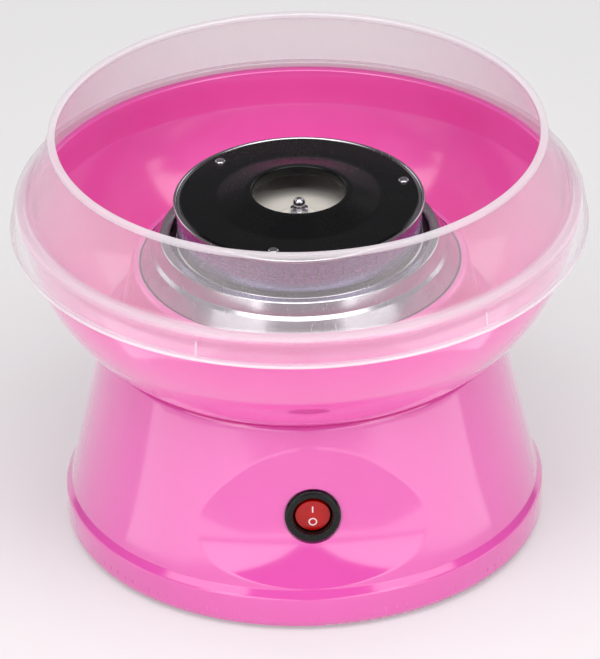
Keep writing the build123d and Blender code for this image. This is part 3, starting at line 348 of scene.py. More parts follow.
metals = {
    # light and dark tone, roughness, share of the ring marks in it, tarnish, how metallic
    "polished_steel": ((0.57, 0.55, 0.58), (0.45, 0.43, 0.46), 0.15, 0.05, 0.0, 1.0),
    # painted shade: the band's steel is tinted dark violet for the shade and dark reflections seen through
    # the guard's veil
    "steel_painted_dark": ((0.33, 0.31, 0.48), (0.24, 0.22, 0.37), 0.24, 0.08, 0.1, 0.85),
    "stamped_steel": ((0.90, 0.85, 0.78), (0.76, 0.70, 0.62), 0.42, 0.12, 0.1, 0.1),
    "zinc_steel": ((0.80, 0.81, 0.82), (0.60, 0.61, 0.62), 0.26, 0.08, 0.1, 1.0),
    "element_sheath": ((0.26, 0.20, 0.17), (0.14, 0.10, 0.09), 0.42, 0.05, 0.5, 1.0),
    "brass": ((0.80, 0.58, 0.24), (0.62, 0.42, 0.16), 0.20, 0.06, 0.2, 1.0),
    "rotor_steel": ((0.30, 0.28, 0.26), (0.16, 0.12, 0.10), 0.38, 0.10, 0.3, 1.0),
}
for name, numbers in metals.items():
    finishes[name] = steel(name, *numbers)
print("metals:", list(metals))

# %% [markdown]
# ## Black enamel, rubber and the inner materials
# The lid is sheet metal under satin black enamel, the switch is satin black plastic and the feet are
# rubber. Inside are ceramic, phenolic board and sintered parts, which only show with the covers off.
# All are one recipe: a base tone, a grain of the right scale and a roughness that follows the grain.

# %% Coated and moulded finishes


def grained(name, tone, worn, rough, scale, depth, coat, shine):
    """A coated or moulded surface: fine grain in the bump, wear and dust in colour and roughness."""
    finish = Finish(name)
    grain = finish.noise(scale, 4.0)
    cloud = finish.noise(35.0, 4.0)
    wear = finish.ramp(cloud * 0.6 + grain * 0.4, (0.50, 0.0), (0.70, 1.0))
    hair = finish.noise(1000.0, 2.0, finish.stretched((0.05, 1.0, 0.4), (0.7, 0.2, 0.5)))
    scratch = finish.ramp(hair, (0.66, 0.0), (0.72, 1.0))
    colour = finish.blend(wear * 0.5 + scratch * 0.2, tone, worn)
    roughness = rough + (grain - 0.5) * 0.10 + wear * 0.08
    normal = finish.bump(grain, depth, 0.6)
    return finish.done(finish.shade(base_color=colour, roughness=roughness, normal=normal,
                                    specular_ior_level=shine, coat_weight=coat, coat_roughness=0.15))


coats = {
    # tone, worn tone, roughness, grains to the metre, their depth in metres, coat, shine
    "lid_black": ((0.003, 0.003, 0.0035), (0.007, 0.0065, 0.0065), 0.22, 900.0, 0.000006, 0.0, 0.25),
    "switch_black": ((0.004, 0.004, 0.004), (0.012, 0.012, 0.013), 0.26, 1100.0, 0.00002, 0.0, 0.3),
    "black_rubber": ((0.020, 0.020, 0.021), (0.045, 0.043, 0.042), 0.62, 700.0, 0.00006, 0.0, 0.5),
    "moulded_black": ((0.025, 0.025, 0.027), (0.05, 0.05, 0.05), 0.45, 800.0, 0.00004, 0.0, 0.5),
    "mark_white": ((0.90, 0.78, 0.80), (0.80, 0.66, 0.70), 0.35, 900.0, 0.00001, 0.0, 0.5),
    "ceramic_white": ((0.74, 0.70, 0.62), (0.60, 0.55, 0.47), 0.55, 600.0, 0.00004, 0.0, 0.5),
    "board_laminate": ((0.33, 0.20, 0.07), (0.24, 0.14, 0.05), 0.42, 500.0, 0.00003, 0.3, 0.5),
    "ferrite": ((0.06, 0.06, 0.065), (0.10, 0.10, 0.10), 0.60, 650.0, 0.00005, 0.0, 0.5),
}
for name, numbers in coats.items():
    finishes[name] = grained(name, *numbers)
print("coated and moulded:", list(coats))

# %% [markdown]
# ## The lit rocker
# The rocker is clear red plastic with a small lamp behind it. A plain red would look flat, so two reds
# are mixed: soft pools of brighter red are painted glow for the lamp's light gathering in the moulding, under
# a thin gloss.

# %% Red rocker


def lit_red(name):
    """Clear red rocker: deep red with soft pools of painted glow for the lamp's light, under a gloss."""
    finish = Finish(name)
    cloud = finish.noise(160.0, 3.0)
    # painted glow: brighter pools of red, placed by noise, stand for the lamp's light inside the rocker
    painted_glow = finish.ramp(cloud, (0.35, 0.0), (0.65, 1.0))
    colour = finish.blend(painted_glow * 0.5, (0.48, 0.001, 0.001), (0.30, 0.0, 0.0))
    roughness = 0.12 + finish.ramp(finish.noise(700.0, 2.0), (0.5, 0.0), (0.8, 1.0)) * 0.10
    normal = finish.bump(finish.noise(900.0, 2.0), 0.00001, 0.4)
    return finish.done(finish.shade(base_color=colour, roughness=roughness, normal=normal,
                                    specular_ior_level=0.3, coat_weight=0.3, coat_roughness=0.05))


finishes["rocker_red"] = lit_red("rocker_red")

for node, thing in frame["nodes"].items():
    thing.data.materials.clear()
    thing.data.materials.append(finishes[slot_of[node]])
print(len(finishes), "finishes for", len(frame["nodes"]), "CAD nodes")

# %% [markdown]
# ## Turned surfaces
# A turned piece is a closed outline in the plane of radius and height, carried round the axis. Real
# corners are never sharp, so the outline's corners are arcs. One function rounds them, one carries the
# outline round, and one makes a mesh of such grids of points, always as whole arrays.

# %% Outlines
NO_ROUND = 1e-4
SAME_POINT = 1e-6


def unit(arrows):
    """Arrows shortened to length one."""
    return arrows / np.maximum(np.linalg.norm(arrows, axis=-1, keepdims=True), 1e-12)


def rounded(corners, steps=7, closed=True):
    """Outline in mm with arcs at its corners.

    Each corner is (radius, height) or (radius, height, round). The arc starts where the round's circle
    touches the edge before and ends where it touches the edge after, and its points are the centre plus
    the first spoke turned evenly into the last.
    """
    table = np.array([(*corner, 0.0)[:3] for corner in corners], dtype=float)
    points = table[:, :2]
    before = unit(np.roll(points, 1, axis=0) - points)
    after = unit(np.roll(points, -1, axis=0) - points)
    half = np.arccos(np.clip((before * after).sum(axis=1), -1, 1)) / 2
    size = np.maximum(table[:, 2], NO_ROUND)
    centre = points + unit(before + after) * (size / np.sin(half))[:, None]
    first = points + before * (size / np.tan(half))[:, None] - centre
    last = points + after * (size / np.tan(half))[:, None] - centre
    turn = (np.pi - 2 * half)[:, None, None]
    share = np.linspace(0, 1, steps)[None, :, None]
    spokes = np.sin((1 - share) * turn) * first[:, None] + np.sin(share * turn) * last[:, None]
    arcs = centre[:, None] + spokes / np.sin(turn)
    plain = table[:, 2] == 0
    arcs[plain] = points[plain][:, None]
    if not closed:
        arcs[[0, -1]] = points[[0, -1]][:, None]
    path = arcs.reshape(-1, 2)
    fresh = np.linalg.norm(np.diff(path, axis=0), axis=1) > SAME_POINT
    return path[np.concatenate([[True], fresh])]


print("a square with round corners:", len(rounded([(0, 0, 1), (4, 0, 1), (4, 4, 1), (0, 4, 1)])), "points")

# %% Grids
AROUND = 300
WELD = 1e-7
SHARP = np.radians(38)


def grid_faces(rows, columns, wrap_rows, wrap_columns):
    """Indices of the quads of a grid of points stored row by row."""
    i = np.arange(rows if wrap_rows else rows - 1)[:, None]
    j = np.arange(columns if wrap_columns else columns - 1)[None, :]
    here = i * columns + j
    beside = i * columns + (j + 1) % columns
    above = (i + 1) % rows * columns + j
    across = (i + 1) % rows * columns + (j + 1) % columns
    return np.stack([here, beside, across, above], axis=-1).reshape(-1, 4)


def carried_round(path, angles):
    """Points (r cos a, r sin a, z) for each point (r, z) of a path and each angle a."""
    radius = path[:, 0][:, None]
    height = np.broadcast_to(path[:, 1][:, None], (len(path), len(angles)))
    return np.stack([radius * np.cos(angles), radius * np.sin(angles), height], axis=-1)


def welded(name, grids):
    """One mesh from several grids (points, faces), joined at their borders and smooth between creases."""
    counts = np.cumsum([0] + [points.size // 3 for points, _ in grids])
    vertices = np.concatenate([points.reshape(-1, 3) for points, _ in grids]) * MM
    faces = np.concatenate([faces + first for (_, faces), first in zip(grids, counts)])
    mesh = bpy.data.meshes.new(name)
    mesh.from_pydata(vertices, [], faces.tolist())
    shape = bmesh.new()
    shape.from_mesh(mesh)
    bmesh.ops.remove_doubles(shape, verts=shape.verts, dist=WELD)
    bmesh.ops.dissolve_degenerate(shape, edges=shape.edges, dist=WELD)
    if shape.calc_volume(signed=True) < 0:
        bmesh.ops.reverse_faces(shape, faces=shape.faces)
    shape.to_mesh(mesh)
    shape.free()
    mesh.polygons.foreach_set("use_smooth", np.ones(len(mesh.polygons), dtype=bool))
    mesh.set_sharp_from_angle(angle=SHARP)
    return mesh


def moved(points, place):
    """Points through a 4x4 matrix, in mm."""
    return points @ place[:3, :3].T + place[:3, 3]


def turned(name, path, around=AROUND, place=np.eye(4)):
    """Mesh of a closed outline carried once round the axis and then put in its place."""
    angles = np.linspace(0, 2 * np.pi, around, endpoint=False)
    points = moved(carried_round(path, angles), place)
    return welded(name, [(points, grid_faces(len(path), around, True, True))])


def finished(name, mesh, nodes, finish=None):
    """A new piece that stands for CAD nodes: it takes their body, slot and finish."""
    piece = bpy.data.objects.new(name, mesh)
    bpy.context.scene.collection.objects.link(piece)
    slot = slot_of[nodes[0]]
    mesh.materials.append(finish or finishes[slot])
    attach(piece, body_of[nodes[0]])
    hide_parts(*nodes)
    print(f"{name}: {len(mesh.vertices)} points, {len(mesh.polygons)} faces")


print("a turned piece has", AROUND, "columns")

# %% [markdown]
# ## The base housing and its facet
# The base is a flared cone with a band at the foot, and a shallow oval facet is pressed into its front
# for the switch. The facet is itself a turned surface, about an axis set back from the head's. Its depth
# is given at seven heights, and a smooth curve through them gives the rest.

# %% Sizes of the base
band_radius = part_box("base_housing")[1].x / MM
seam_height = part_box("base_housing")[0].z / MM
tower_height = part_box("base_housing")[1].z / MM
band_height = 15.2
crease_radius = 96.6
crease_height = 18.2
waist_radius = 81.9
deck_height = 86.8
tower_radius = 62.6
tower_foot_radius = 63.4
housing_wall = 2.5
seam_round = 0.35
facet_heights = np.array([16.8, 22.5, 31.0, 41.0, 52.0, 64.0, 80.0])
facet_depths = np.array([-1.0, 1.5, 3.35, 3.9, 3.2, 1.75, -0.35])
facet_axis_setback = 37.0
facet_edge_round = 0.22
switch_height = 47.6
switch_tilt = np.radians(7.0)
switch_seat_radius = 12.1
switch_seat_sink = 0.8
switch_hole_radius = 10.0
print("base", round(2 * band_radius, 1), "mm across, top of its tower at", round(tower_height, 1))

# %% The facet as a formula


def natural_spline(knots, values):
    """A smooth curve through points: cubic pieces whose second slopes solve one small linear system."""
    gaps = np.diff(knots)
    inner = np.arange(1, len(knots) - 1)
    system = np.eye(len(knots))
    right = np.zeros(len(knots))
    system[inner, inner - 1] = gaps[:-1]
    system[inner, inner] = 2 * (gaps[:-1] + gaps[1:])
    system[inner, inner + 1] = gaps[1:]
    right[inner] = 6 * np.diff(np.diff(values) / gaps)
    bend = np.linalg.solve(system, right)

    def curve(at):
        at = np.clip(at, knots[0], knots[-1])
        index = np.clip(np.searchsorted(knots, at) - 1, 0, len(gaps) - 1)
        gap = gaps[index]
        fall = (knots[index + 1] - at) / gap
        rise = (at - knots[index]) / gap
        swell = (fall ** 3 - fall) * bend[index] + (rise ** 3 - rise) * bend[index + 1]
        return fall * values[index] + rise * values[index + 1] + swell * gap ** 2 / 6

    return curve


facet_depth = natural_spline(facet_heights, facet_depths)


def flare_radius(height):
    """Radius of the cone: a straight line from the crease to the waist."""
    share = (height - crease_height) / (deck_height - crease_height)
    return crease_radius + (waist_radius - crease_radius) * share


def facet_cut(turn, height):
    """How far the facet lies inside the cone, below zero outside it; turn is from the front, in radians.

    The facet's circle at a height has its centre set back by s and the radius F, so a point of it at the
    turn t is sqrt(F^2 - s^2 sin^2 t) - s cos t from the machine's axis.
    """
    circle = facet_axis_setback + flare_radius(height) - facet_depth(height)
    reach = np.sqrt(circle ** 2 - (facet_axis_setback * np.sin(turn)) ** 2)
    return flare_radius(height) - (reach - facet_axis_setback * np.cos(turn))


def front_radius(turn, height):
    """Radius of the finished front: the cone less the facet, with the edge between them rounded."""
    cut = facet_cut(turn, height)
    rounded_cut = (cut + facet_edge_round) ** 2 / (4 * facet_edge_round)
    taken = np.where(cut > facet_edge_round, cut, np.where(cut < -facet_edge_round, 0.0, rounded_cut))
    return flare_radius(height) - taken


def on_base(turn, height, radius):
    """Points at turns from the front: x = r sin t, y = -r cos t."""
    return np.stack(np.broadcast_arrays(radius * np.sin(turn), -radius * np.cos(turn), height), axis=-1)


facet_rows = np.linspace(facet_heights[0], facet_heights[-1], 100)
print("the facet is", round(float(facet_cut(0.0, facet_rows).max()), 2), "mm deep in the middle")

# %% The switch's own place
switch_out = np.array([0.0, -np.cos(switch_tilt), np.sin(switch_tilt)])
switch_up = np.array([0.0, np.sin(switch_tilt), np.cos(switch_tilt)])
facet_chord = np.interp(switch_height, facet_heights, facet_depths)
switch_front = flare_radius(switch_height) - facet_chord - switch_seat_sink
switch_frame = np.eye(4)
switch_frame[:3, :3] = np.stack([[1.0, 0.0, 0.0], switch_up, switch_out], axis=1)
switch_frame[:3, 3] = (0.0, -switch_front, switch_height)


def switch_ring(radius, directions):
    """Circle about the switch's axis, at the depth of its seat."""
    flat = radius * np.stack([np.cos(directions), np.sin(directions), 0 * directions], axis=-1)
    return moved(flat, switch_frame)


def slid_to_front(points, rounds=8):
    """Points moved along the switch's axis until they lie on the front's surface."""
    for _ in range(rounds):
        turn = np.arctan2(points[:, 0], -points[:, 1])
        gap = front_radius(turn, points[:, 2]) - np.hypot(points[:, 0], points[:, 1])
        points = points + gap[:, None] * switch_out
    return points


print("the switch's seat is", round(float(switch_front), 2), "mm in front of the head's axis")

# %% Skins of the housing
FRONT_TURN = np.radians(46)
FRONT_COLUMNS = 96
FLARE_ROWS = 46
outer_path = rounded([
    (band_radius - housing_wall, seam_height),
    (band_radius, seam_height, seam_round),
    (band_radius, band_height, 3.0),
    (crease_radius, crease_height, 1.0),
    (waist_radius, deck_height, 2.0),
    (tower_foot_radius, deck_height, 2.5),
    (tower_radius, tower_height, 0.8),
    (tower_radius - housing_wall, tower_height),
], closed=False, steps=9)
inner_path = rounded([
    (band_radius - housing_wall, seam_height),
    (band_radius - housing_wall, band_height, 1.5),
    (crease_radius - housing_wall, crease_height, 2.0),
    (waist_radius - housing_wall, deck_height - housing_wall, 1.0),
    (tower_foot_radius - housing_wall, deck_height - housing_wall, 3.0),
    (tower_radius - housing_wall, tower_height),
], closed=False, steps=7)


def split_at_flare(path):
    """The path below and above its straight run on the cone."""
    longest = np.argmax(np.linalg.norm(np.diff(path, axis=0), axis=1))
    return path[:longest + 1], path[longest + 1:]


print("skins of the housing:", len(outer_path), "and", len(inner_path), "points")

# %% [markdown]
# ## The front as a patch of rings
# Cutting the facet from the cone would leave ragged triangles along its edge. Here the front is a patch of
# rings instead: they start as the switch's round seat, swell to the facet's edge and end on a rectangle of
# the cone, so the edge of the facet runs along the mesh. Every ring has as many points as the rectangle.

# %% Front patch
INNER_RINGS = 44
OUTER_RINGS = 16
RING_CROWDING = 2.0


def border_of(low, high):
    """The rectangle that a patch ends on: turns and heights once round it."""
    columns = np.linspace(-FRONT_TURN, FRONT_TURN, FRONT_COLUMNS + 1)
    rows = np.linspace(low, high, FLARE_ROWS + 1)
    turns = np.concatenate([columns[:-1], np.full(FLARE_ROWS, FRONT_TURN),
                            columns[:0:-1], np.full(FLARE_ROWS, -FRONT_TURN)])
    heights = np.concatenate([np.full(FRONT_COLUMNS, low), rows[:-1],
                              np.full(FRONT_COLUMNS, high), rows[:0:-1]])
    return turns, heights


def front_patch(border_turn, border_height, start_radius, inset):
    """Directions about the switch's axis, and the rings of points from its hole or seat to the border.

    A ring's point slides from the starting circle to the facet's edge, found by halving, and on to the
    border; the steps crowd at the edge so that its round is even.
    """
    directions = np.arctan2(border_height - switch_height, border_turn * flare_radius(switch_height))
    seat = slid_to_front(switch_ring(start_radius, directions))
    seat_turn = np.arctan2(seat[:, 0], -seat[:, 1])
    seat_height = seat[:, 2]

    def along(share):
        turn = seat_turn + (border_turn - seat_turn) * share
        return turn, seat_height + (border_height - seat_height) * share

    inside = np.zeros_like(directions)
    outside = np.ones_like(directions)
    for _ in range(30):
        middle = (inside + outside) / 2
        within = facet_cut(*along(middle)) > 0
        inside = np.where(within, middle, inside)
        outside = np.where(within, outside, middle)
    crowd = np.linspace(0, 1, INNER_RINGS + 1)[:, None]
    spread = np.linspace(0, 1, OUTER_RINGS + 1)[1:, None]
    shares = np.concatenate([inside * (1 - (1 - crowd) ** RING_CROWDING),
                             inside + (1 - inside) * spread ** RING_CROWDING])
    turn, height = along(shares)
    return directions, on_base(turn, height, front_radius(turn, height) - inset)


print("a ring of the patch has", 2 * (FRONT_COLUMNS + FLARE_ROWS), "points")

# %% Housing shell


def housing_mesh():
    """The whole shell: outer and inner skins, each with its patch, joined at the switch's hole.

    A skin is the path below the cone and the path above it, both carried right round, the cone's rest
    beside the patch, and the patch, whose last ring is laid on the cone's own line.
    """
    front = np.linspace(-FRONT_TURN, FRONT_TURN, FRONT_COLUMNS + 1)
    rest = np.linspace(FRONT_TURN, 2 * np.pi - FRONT_TURN, AROUND - FRONT_COLUMNS)
    whole = np.concatenate([front[:-1], rest[:-1]])
    skins = ((outer_path, switch_seat_radius, 0.0, 1), (inner_path, switch_hole_radius, housing_wall, -1))
    grids = []
    holes = []
    for path, start_radius, inset, way in skins:
        below, above = split_at_flare(path)
        low, high = below[-1, 1], above[0, 1]
        line = (low, high), (below[-1, 0], above[0, 0])
        for part in (below, above):
            points = on_base(whole, part[:, 1:], part[:, :1])
            grids.append((points, grid_faces(len(part), len(whole), False, True)[:, ::way]))
        heights = np.linspace(low, high, FLARE_ROWS + 1)[:, None]
        points = on_base(rest, heights, np.interp(heights, *line))
        grids.append((points, grid_faces(len(heights), len(rest), False, False)[:, ::way]))
        border_turn, border_height = border_of(low, high)
        directions, patch = front_patch(border_turn, border_height, start_radius, inset)
        patch[-1] = on_base(border_turn, border_height, np.interp(border_height, *line))
        grids.append((patch, grid_faces(len(patch), len(directions), False, True)[:, ::-way]))
        holes.append((directions, patch[0]))
    seat_rim = switch_ring(switch_seat_radius, holes[0][0])
    hole_rim = switch_ring(switch_hole_radius, holes[0][0])
    throat = np.stack([holes[0][1], seat_rim, hole_rim, holes[1][1]])
    grids.append((throat, grid_faces(len(throat), throat.shape[1], False, True)))
    return welded("housing_shell", grids)


finished("housing_shell", housing_mesh(), ["base_housing"])

# %% [markdown]
# ## Pieces that keep their CAD surface
# Feet, screws, the motor and the board are plain forms with holes, and the CAD surface is right already.
# It comes as loose triangles, so a welded copy is made, smooth except at its creases. The copy replaces
# the node, because a CAD node's own mesh is never changed.

# %% Welded copies
COPY_WELD = 1e-6
COPY_SHARP = 0.7 * SHARP


def welded_copy(node):
    """The node's triangles joined at their corners, smooth between creases."""
    source = frame["nodes"][node].data
    mesh = source.copy()
    mesh.name = node + "_smooth"
    mesh.materials.clear()
    shape = bmesh.new()
    shape.from_mesh(mesh)
    bmesh.ops.remove_doubles(shape, verts=shape.verts, dist=COPY_WELD)
    shape.to_mesh(mesh)
    shape.free()
    mesh.polygons.foreach_set("use_smooth", np.ones(len(mesh.polygons), dtype=bool))
    mesh.set_sharp_from_angle(angle=COPY_SHARP)
    return mesh


for node in ("bottom_cover", "rubber_feet", "cover_screws", "cord_bush", "switch_terminals", "motor_bracket",
             "isolation_grommets", "bracket_screws", "motor_can", "motor_end_bell", "motor_screws",
             "pan_standoffs", "pan_screws", "heating_element", "element_holders", "board_capacitor",
             "board_diodes", "motor_shaft", "motor_rotor", "head_hub"):
    finished(node + "_skin", welded_copy(node), [node])

# %% [markdown]
# ## The rocker switch
# The bezel is a turned ring about the switch's own axis, so it is made upright and then put in the switch's
# frame. The rocker is a slice of a ball with a shallow valley across its face. As a grid, every face
# point is a share of the disc's rim, and its height is the valley's slope plus a soft fold in the middle.

# %% Bezel
SWITCH_AROUND = 160
bezel_radius = 11.5
bezel_proud = 2.2
body_radius = 9.8
body_depth = 15.0
well_radius = 7.9
well_depth = 10.5
bezel_path = rounded([
    (0.0, -body_depth),
    (body_radius - 1.0, -body_depth, 0.5),
    (body_radius, 2.0 - body_depth),
    (body_radius, 0.0),
    (bezel_radius, 0.0),
    (bezel_radius, bezel_proud, 1.5),
    (well_radius + 0.5, bezel_proud, 0.5),
    (well_radius, 0.6),
    (well_radius, -well_depth, 0.8),
    (0.0, -well_depth),
])
finished("switch_bezel", turned("switch_bezel", bezel_path, SWITCH_AROUND, switch_frame), ["switch_housing"])

# %% Rocker
rocker_radius = 7.5
rocker_depth = 2.6
rocker_tilt = np.radians(10.0)
valley_rise = 2.1
valley_slope = np.radians(4.0)
valley_fold = 0.8
rocker_edge = 0.5
rocker_skirt = 3.4
FACE_RINGS = 26
EDGE_RINGS = 7
SIDE_RINGS = 22
BACK_RINGS = 4


def rocker_frame():
    """The switch's frame moved down to the pivot and tipped to the off side."""
    tip = np.eye(4)
    tip[1, 1] = tip[2, 2] = np.cos(rocker_tilt)
    tip[1, 2] = -np.sin(rocker_tilt)
    tip[2, 1] = np.sin(rocker_tilt)
    sink = np.eye(4)
    sink[2, 3] = -rocker_depth
    return switch_frame @ sink @ tip


def valley(y):
    """Height of the rocker's face: two slopes that meet in a soft fold at y = 0."""
    return valley_rise + np.tan(valley_slope) * (np.sqrt(y ** 2 + valley_fold ** 2) - valley_fold)


def rocker_mesh():
    """Face, rounded rim, ball side and underside, as rings from the middle of the face to that of the back.

    A face point at the share s of its rim is s times the rim point, whose radius keeps it on the ball. The
    edge is a curve from the face to the side that leans towards the corner where they would meet.
    """
    turn = np.linspace(0, 2 * np.pi, SWITCH_AROUND, endpoint=False)
    rim = np.full_like(turn, rocker_radius)
    for _ in range(12):
        rim = np.sqrt(rocker_radius ** 2 - valley(rim * np.sin(turn)) ** 2)
    face_share = 1 - rocker_edge / rocker_radius
    shares = np.linspace(0, face_share, FACE_RINGS)[:, None]
    x, y = shares * rim * np.cos(turn), shares * rim * np.sin(turn)
    face = np.stack([x, y, valley(y)], axis=-1)
    high = np.arcsin(valley(rim * np.sin(turn)) / rocker_radius) - rocker_edge / rocker_radius
    low = -np.arcsin(rocker_skirt / rocker_radius)
    lift = high + (low - high) * np.linspace(0, 1, SIDE_RINGS)[:, None]
    level = np.cos(lift)
    side = rocker_radius * np.stack([level * np.cos(turn), level * np.sin(turn), np.sin(lift)], axis=-1)
    bend = np.linspace(0, 1, EDGE_RINGS)[1:-1, None, None]
    corner = face[-1] / face_share
    edge = (1 - bend) ** 2 * face[-1] + 2 * bend * (1 - bend) * corner + bend ** 2 * side[0]
    back = side[-1] * np.linspace(1, 0, BACK_RINGS)[1:, None, None]
    back[..., 2] = -rocker_skirt
    rings = moved(np.concatenate([face, edge, side, back]), rocker_frame())
    return welded("rocker", [(rings, grid_faces(len(rings), SWITCH_AROUND, False, True))])


finished("rocker", rocker_mesh(), ["rocker_button"])

# %% [markdown]
# ## The marks on the rocker
# Such a switch carries a plain O and I in white print, less than a tenth of a millimetre thick. A picture
# would do from afar, but a thin solid keeps a clean edge close up. Each mark is a grid whose height is
# counted from the rocker's face, so it follows the fold.

# %% Marks
MARK_AROUND = 48
mark_spacing = 3.0
mark_print = 0.06
mark_root = 0.05
ring_inside = 1.25
ring_outside = 1.78
bar_width = 0.55
bar_length = 3.1
ring_mark = rounded([
    (ring_inside, -mark_root),
    (ring_outside, -mark_root),
    (ring_outside, mark_print, 0.03),
    (ring_inside, mark_print, 0.03),
], steps=3)


def laid_on_face(points):
    """Points whose height is counted from the rocker's face."""
    points = points.copy()
    points[..., 2] += valley(points[..., 1])
    return moved(points, rocker_frame())


def bar_grid():
    """The straight mark: a grid over its top, whose outermost rows and columns fold down as its sides."""
    across = np.array([-0.5, -0.5, -0.42, 0.42, 0.5, 0.5]) * bar_width
    along = np.array([-0.5, -0.5, -0.46, 0.0, 0.46, 0.5, 0.5]) * bar_length + mark_spacing
    x, y = np.meshgrid(across, along)
    height = np.full(x.shape, mark_print)
    height[[0, -1]] = -mark_root
    height[:, [0, -1]] = -mark_root
    return laid_on_face(np.stack([x, y, height], axis=-1)), grid_faces(*x.shape, False, False)


def ring_grid():
    """The round mark: its small outline carried round its own middle, then laid on the face."""
    turn = np.linspace(0, 2 * np.pi, MARK_AROUND, endpoint=False)
    points = carried_round(ring_mark, turn) + np.array([0.0, -mark_spacing, 0.0])
    return laid_on_face(points), grid_faces(len(ring_mark), MARK_AROUND, True, True)


marks = bpy.data.objects.new("rocker_marks", welded("rocker_marks", [ring_grid(), bar_grid()]))
bpy.context.scene.collection.objects.link(marks)
marks.data.materials.append(finishes["mark_white"])
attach(marks, body_of["rocker_button"])
print("rocker marks:", len(marks.data.polygons), "faces")

# %% [markdown]
# ## The catch bowl
# The bowl is one moulding: a belly that rises in one wide arc, a rolled rim and a boss round the tower.
# An arc through three points gives the belly. The inner skin is a second arc, whose ends lie one wall
# further in.

# %% Catch bowl
bowl_wall = 2.5
floor_under = 87.0
floor_top = floor_under + bowl_wall
belly_foot = 81.6
belly_radius = 112.0
belly_top = 131.0
rim_radius = 115.2
rim_under = 143.6
rim_top = 146.6
boss_bore = 66.0
boss_foot = 72.4
boss_top = 118.6
belly_steps = 40


def arc_through(first, middle, last, steps):
    """Points of the circle through three points, from the first to the last.

    The centre solves two equations: it is as far from the middle as from each end.
    """
    first, middle, last = np.array([first, middle, last])
    system = 2 * np.stack([middle - first, last - middle])
    right = np.array([middle @ middle - first @ first, last @ last - middle @ middle])
    centre = np.linalg.solve(system, right)
    start, stop = np.arctan2(*(first - centre)[::-1]), np.arctan2(*(last - centre)[::-1])
    turn = np.linspace(start, stop, steps)
    return centre + np.linalg.norm(first - centre) * np.stack([np.cos(turn), np.sin(turn)], axis=-1)


belly = arc_through((belly_foot, floor_under), (100.75, 106.27), (belly_radius, belly_top), belly_steps)
inner_belly = arc_through((belly_foot, floor_top), (99.53, 107.57), (belly_radius - bowl_wall, belly_top),
                          belly_steps)
rim_path = rounded([
    (112.4, 140.0),
    (112.45, rim_under, 0.4),
    (rim_radius, rim_under, 0.5),
    (rim_radius, rim_top, 1.4),
    (108.4, rim_top, 0.5),
    (108.9, 139.0),
], closed=False, steps=8)
boss_path = rounded([
    (81.0, floor_top),
    (75.5, floor_top, 3.9),
    (69.1, boss_top, 2.2),
    (boss_bore, boss_top, 0.5),
    (boss_bore, boss_top - bowl_wall, 0.3),
    (boss_foot, floor_under + 1.25, 0.5),
    (boss_foot, floor_under, 0.2),
    (81.0, floor_under),
], closed=False, steps=9)
bowl_path = np.concatenate([belly, rim_path, inner_belly[::-1], boss_path])
finished("bowl_moulding", turned("bowl_moulding", bowl_path), ["catch_bowl"])

# %% [markdown]
# ## The frosted guard
# The guard is a tall ring with a beaded top, a shoulder that sits on the bowl's rim and a skirt outside
# it with a rolled hem. Six small ribs stand on the skirt. They aren't stuck on: the skirt's radius has a
# smooth bump at each rib's angle, so the surface stays one skin.

# %% Guard
rib_count = 6
rib_first = np.radians(7)
rib_proud = 0.8
rib_half_width = 0.75
rib_low = 137.9
rib_high = 145.4
rib_end = 0.8
rib_room = 2.5
row_spacing = 0.8
skirt_radius = 118.0
skirt_face = 116.7
FINE_COLUMNS = 1200
PLAIN_STEP = 5
guard_path = rounded([
    (98.7, 178.6, 0.8),
    (101.9, 178.6, 0.8),
    (101.9, 176.4, 0.5),
    (101.3, 176.4, 0.3),
    (111.8, 148.3, 2.6),
    (116.6, 148.3, 2.4),
    (117.4, 143.3, 2.4),
    (118.0, 137.3, 0.4),
    (118.45, 136.7, 0.3),
    (118.45, 135.7, 0.3),
    (116.5, 135.7, 0.3),
    (115.9, 143.3, 2.0),
    (115.4, 146.8, 1.0),
    (111.05, 146.8, 1.0),
    (109.4, 147.8, 1.0),
    (99.8, 176.4, 0.3),
    (98.7, 176.4, 0.3),
], steps=8)


def with_more_rows(path, low, high, spacing):
    """A path whose long runs between two heights have a point every so often."""
    rows = [path[:1]]
    for first, last in zip(path[:-1], path[1:]):
        inside = min(first[1], last[1]) > low and max(first[1], last[1]) < high
        count = max(1, int(np.ceil(np.linalg.norm(last - first) / spacing))) if inside else 1
        rows.append(first + (last - first) * np.linspace(0, 1, count + 1)[1:, None])
    return np.concatenate(rows)


def guard_mesh():
    """The outline carried round, with the skirt's outer face pushed out at each rib.

    The push is a raised cosine across the rib times a soft step at its two ends. Columns are fine at the
    ribs and five times coarser between them.
    """
    path = with_more_rows(guard_path, rib_low - rib_room, rib_high + rib_room, row_spacing)
    turn = np.linspace(0, 2 * np.pi, FINE_COLUMNS, endpoint=False)
    pitch = 2 * np.pi / rib_count
    off = (turn - rib_first + pitch / 2) % pitch - pitch / 2
    keep = np.arange(len(turn)) % PLAIN_STEP == 0
    keep |= np.abs(off) * skirt_radius < 1.6 * rib_half_width
    turn, off = turn[keep], off[keep]
    across = np.clip(np.abs(off) * skirt_radius / rib_half_width, 0, 1)
    swell = 0.5 + 0.5 * np.cos(np.pi * across)
    height = path[:, 1]
    ends = np.clip((height - rib_low) / rib_end, 0, 1) * np.clip((rib_high - height) / rib_end, 0, 1)
    outside = (path[:, 0] > skirt_face) * ends
    points = carried_round(path, turn)
    push = rib_proud * outside[:, None] * swell[None, :]
    points[..., 0] += push * np.cos(turn)
    points[..., 1] += push * np.sin(turn)
    return welded("guard_moulding", [(points, grid_faces(len(path), len(turn), True, True))])


finished("guard_moulding", guard_mesh(), ["splash_guard"])

# %% [markdown]
# ## Collar and pan
# Both are pressed from thin sheet, so each is a line along one face, with the sheet's thickness laid to its
# left. Moving the line along its own normals gives the second face, and bends come out parallel.

# %% Pressed sheet
sheet = 0.8


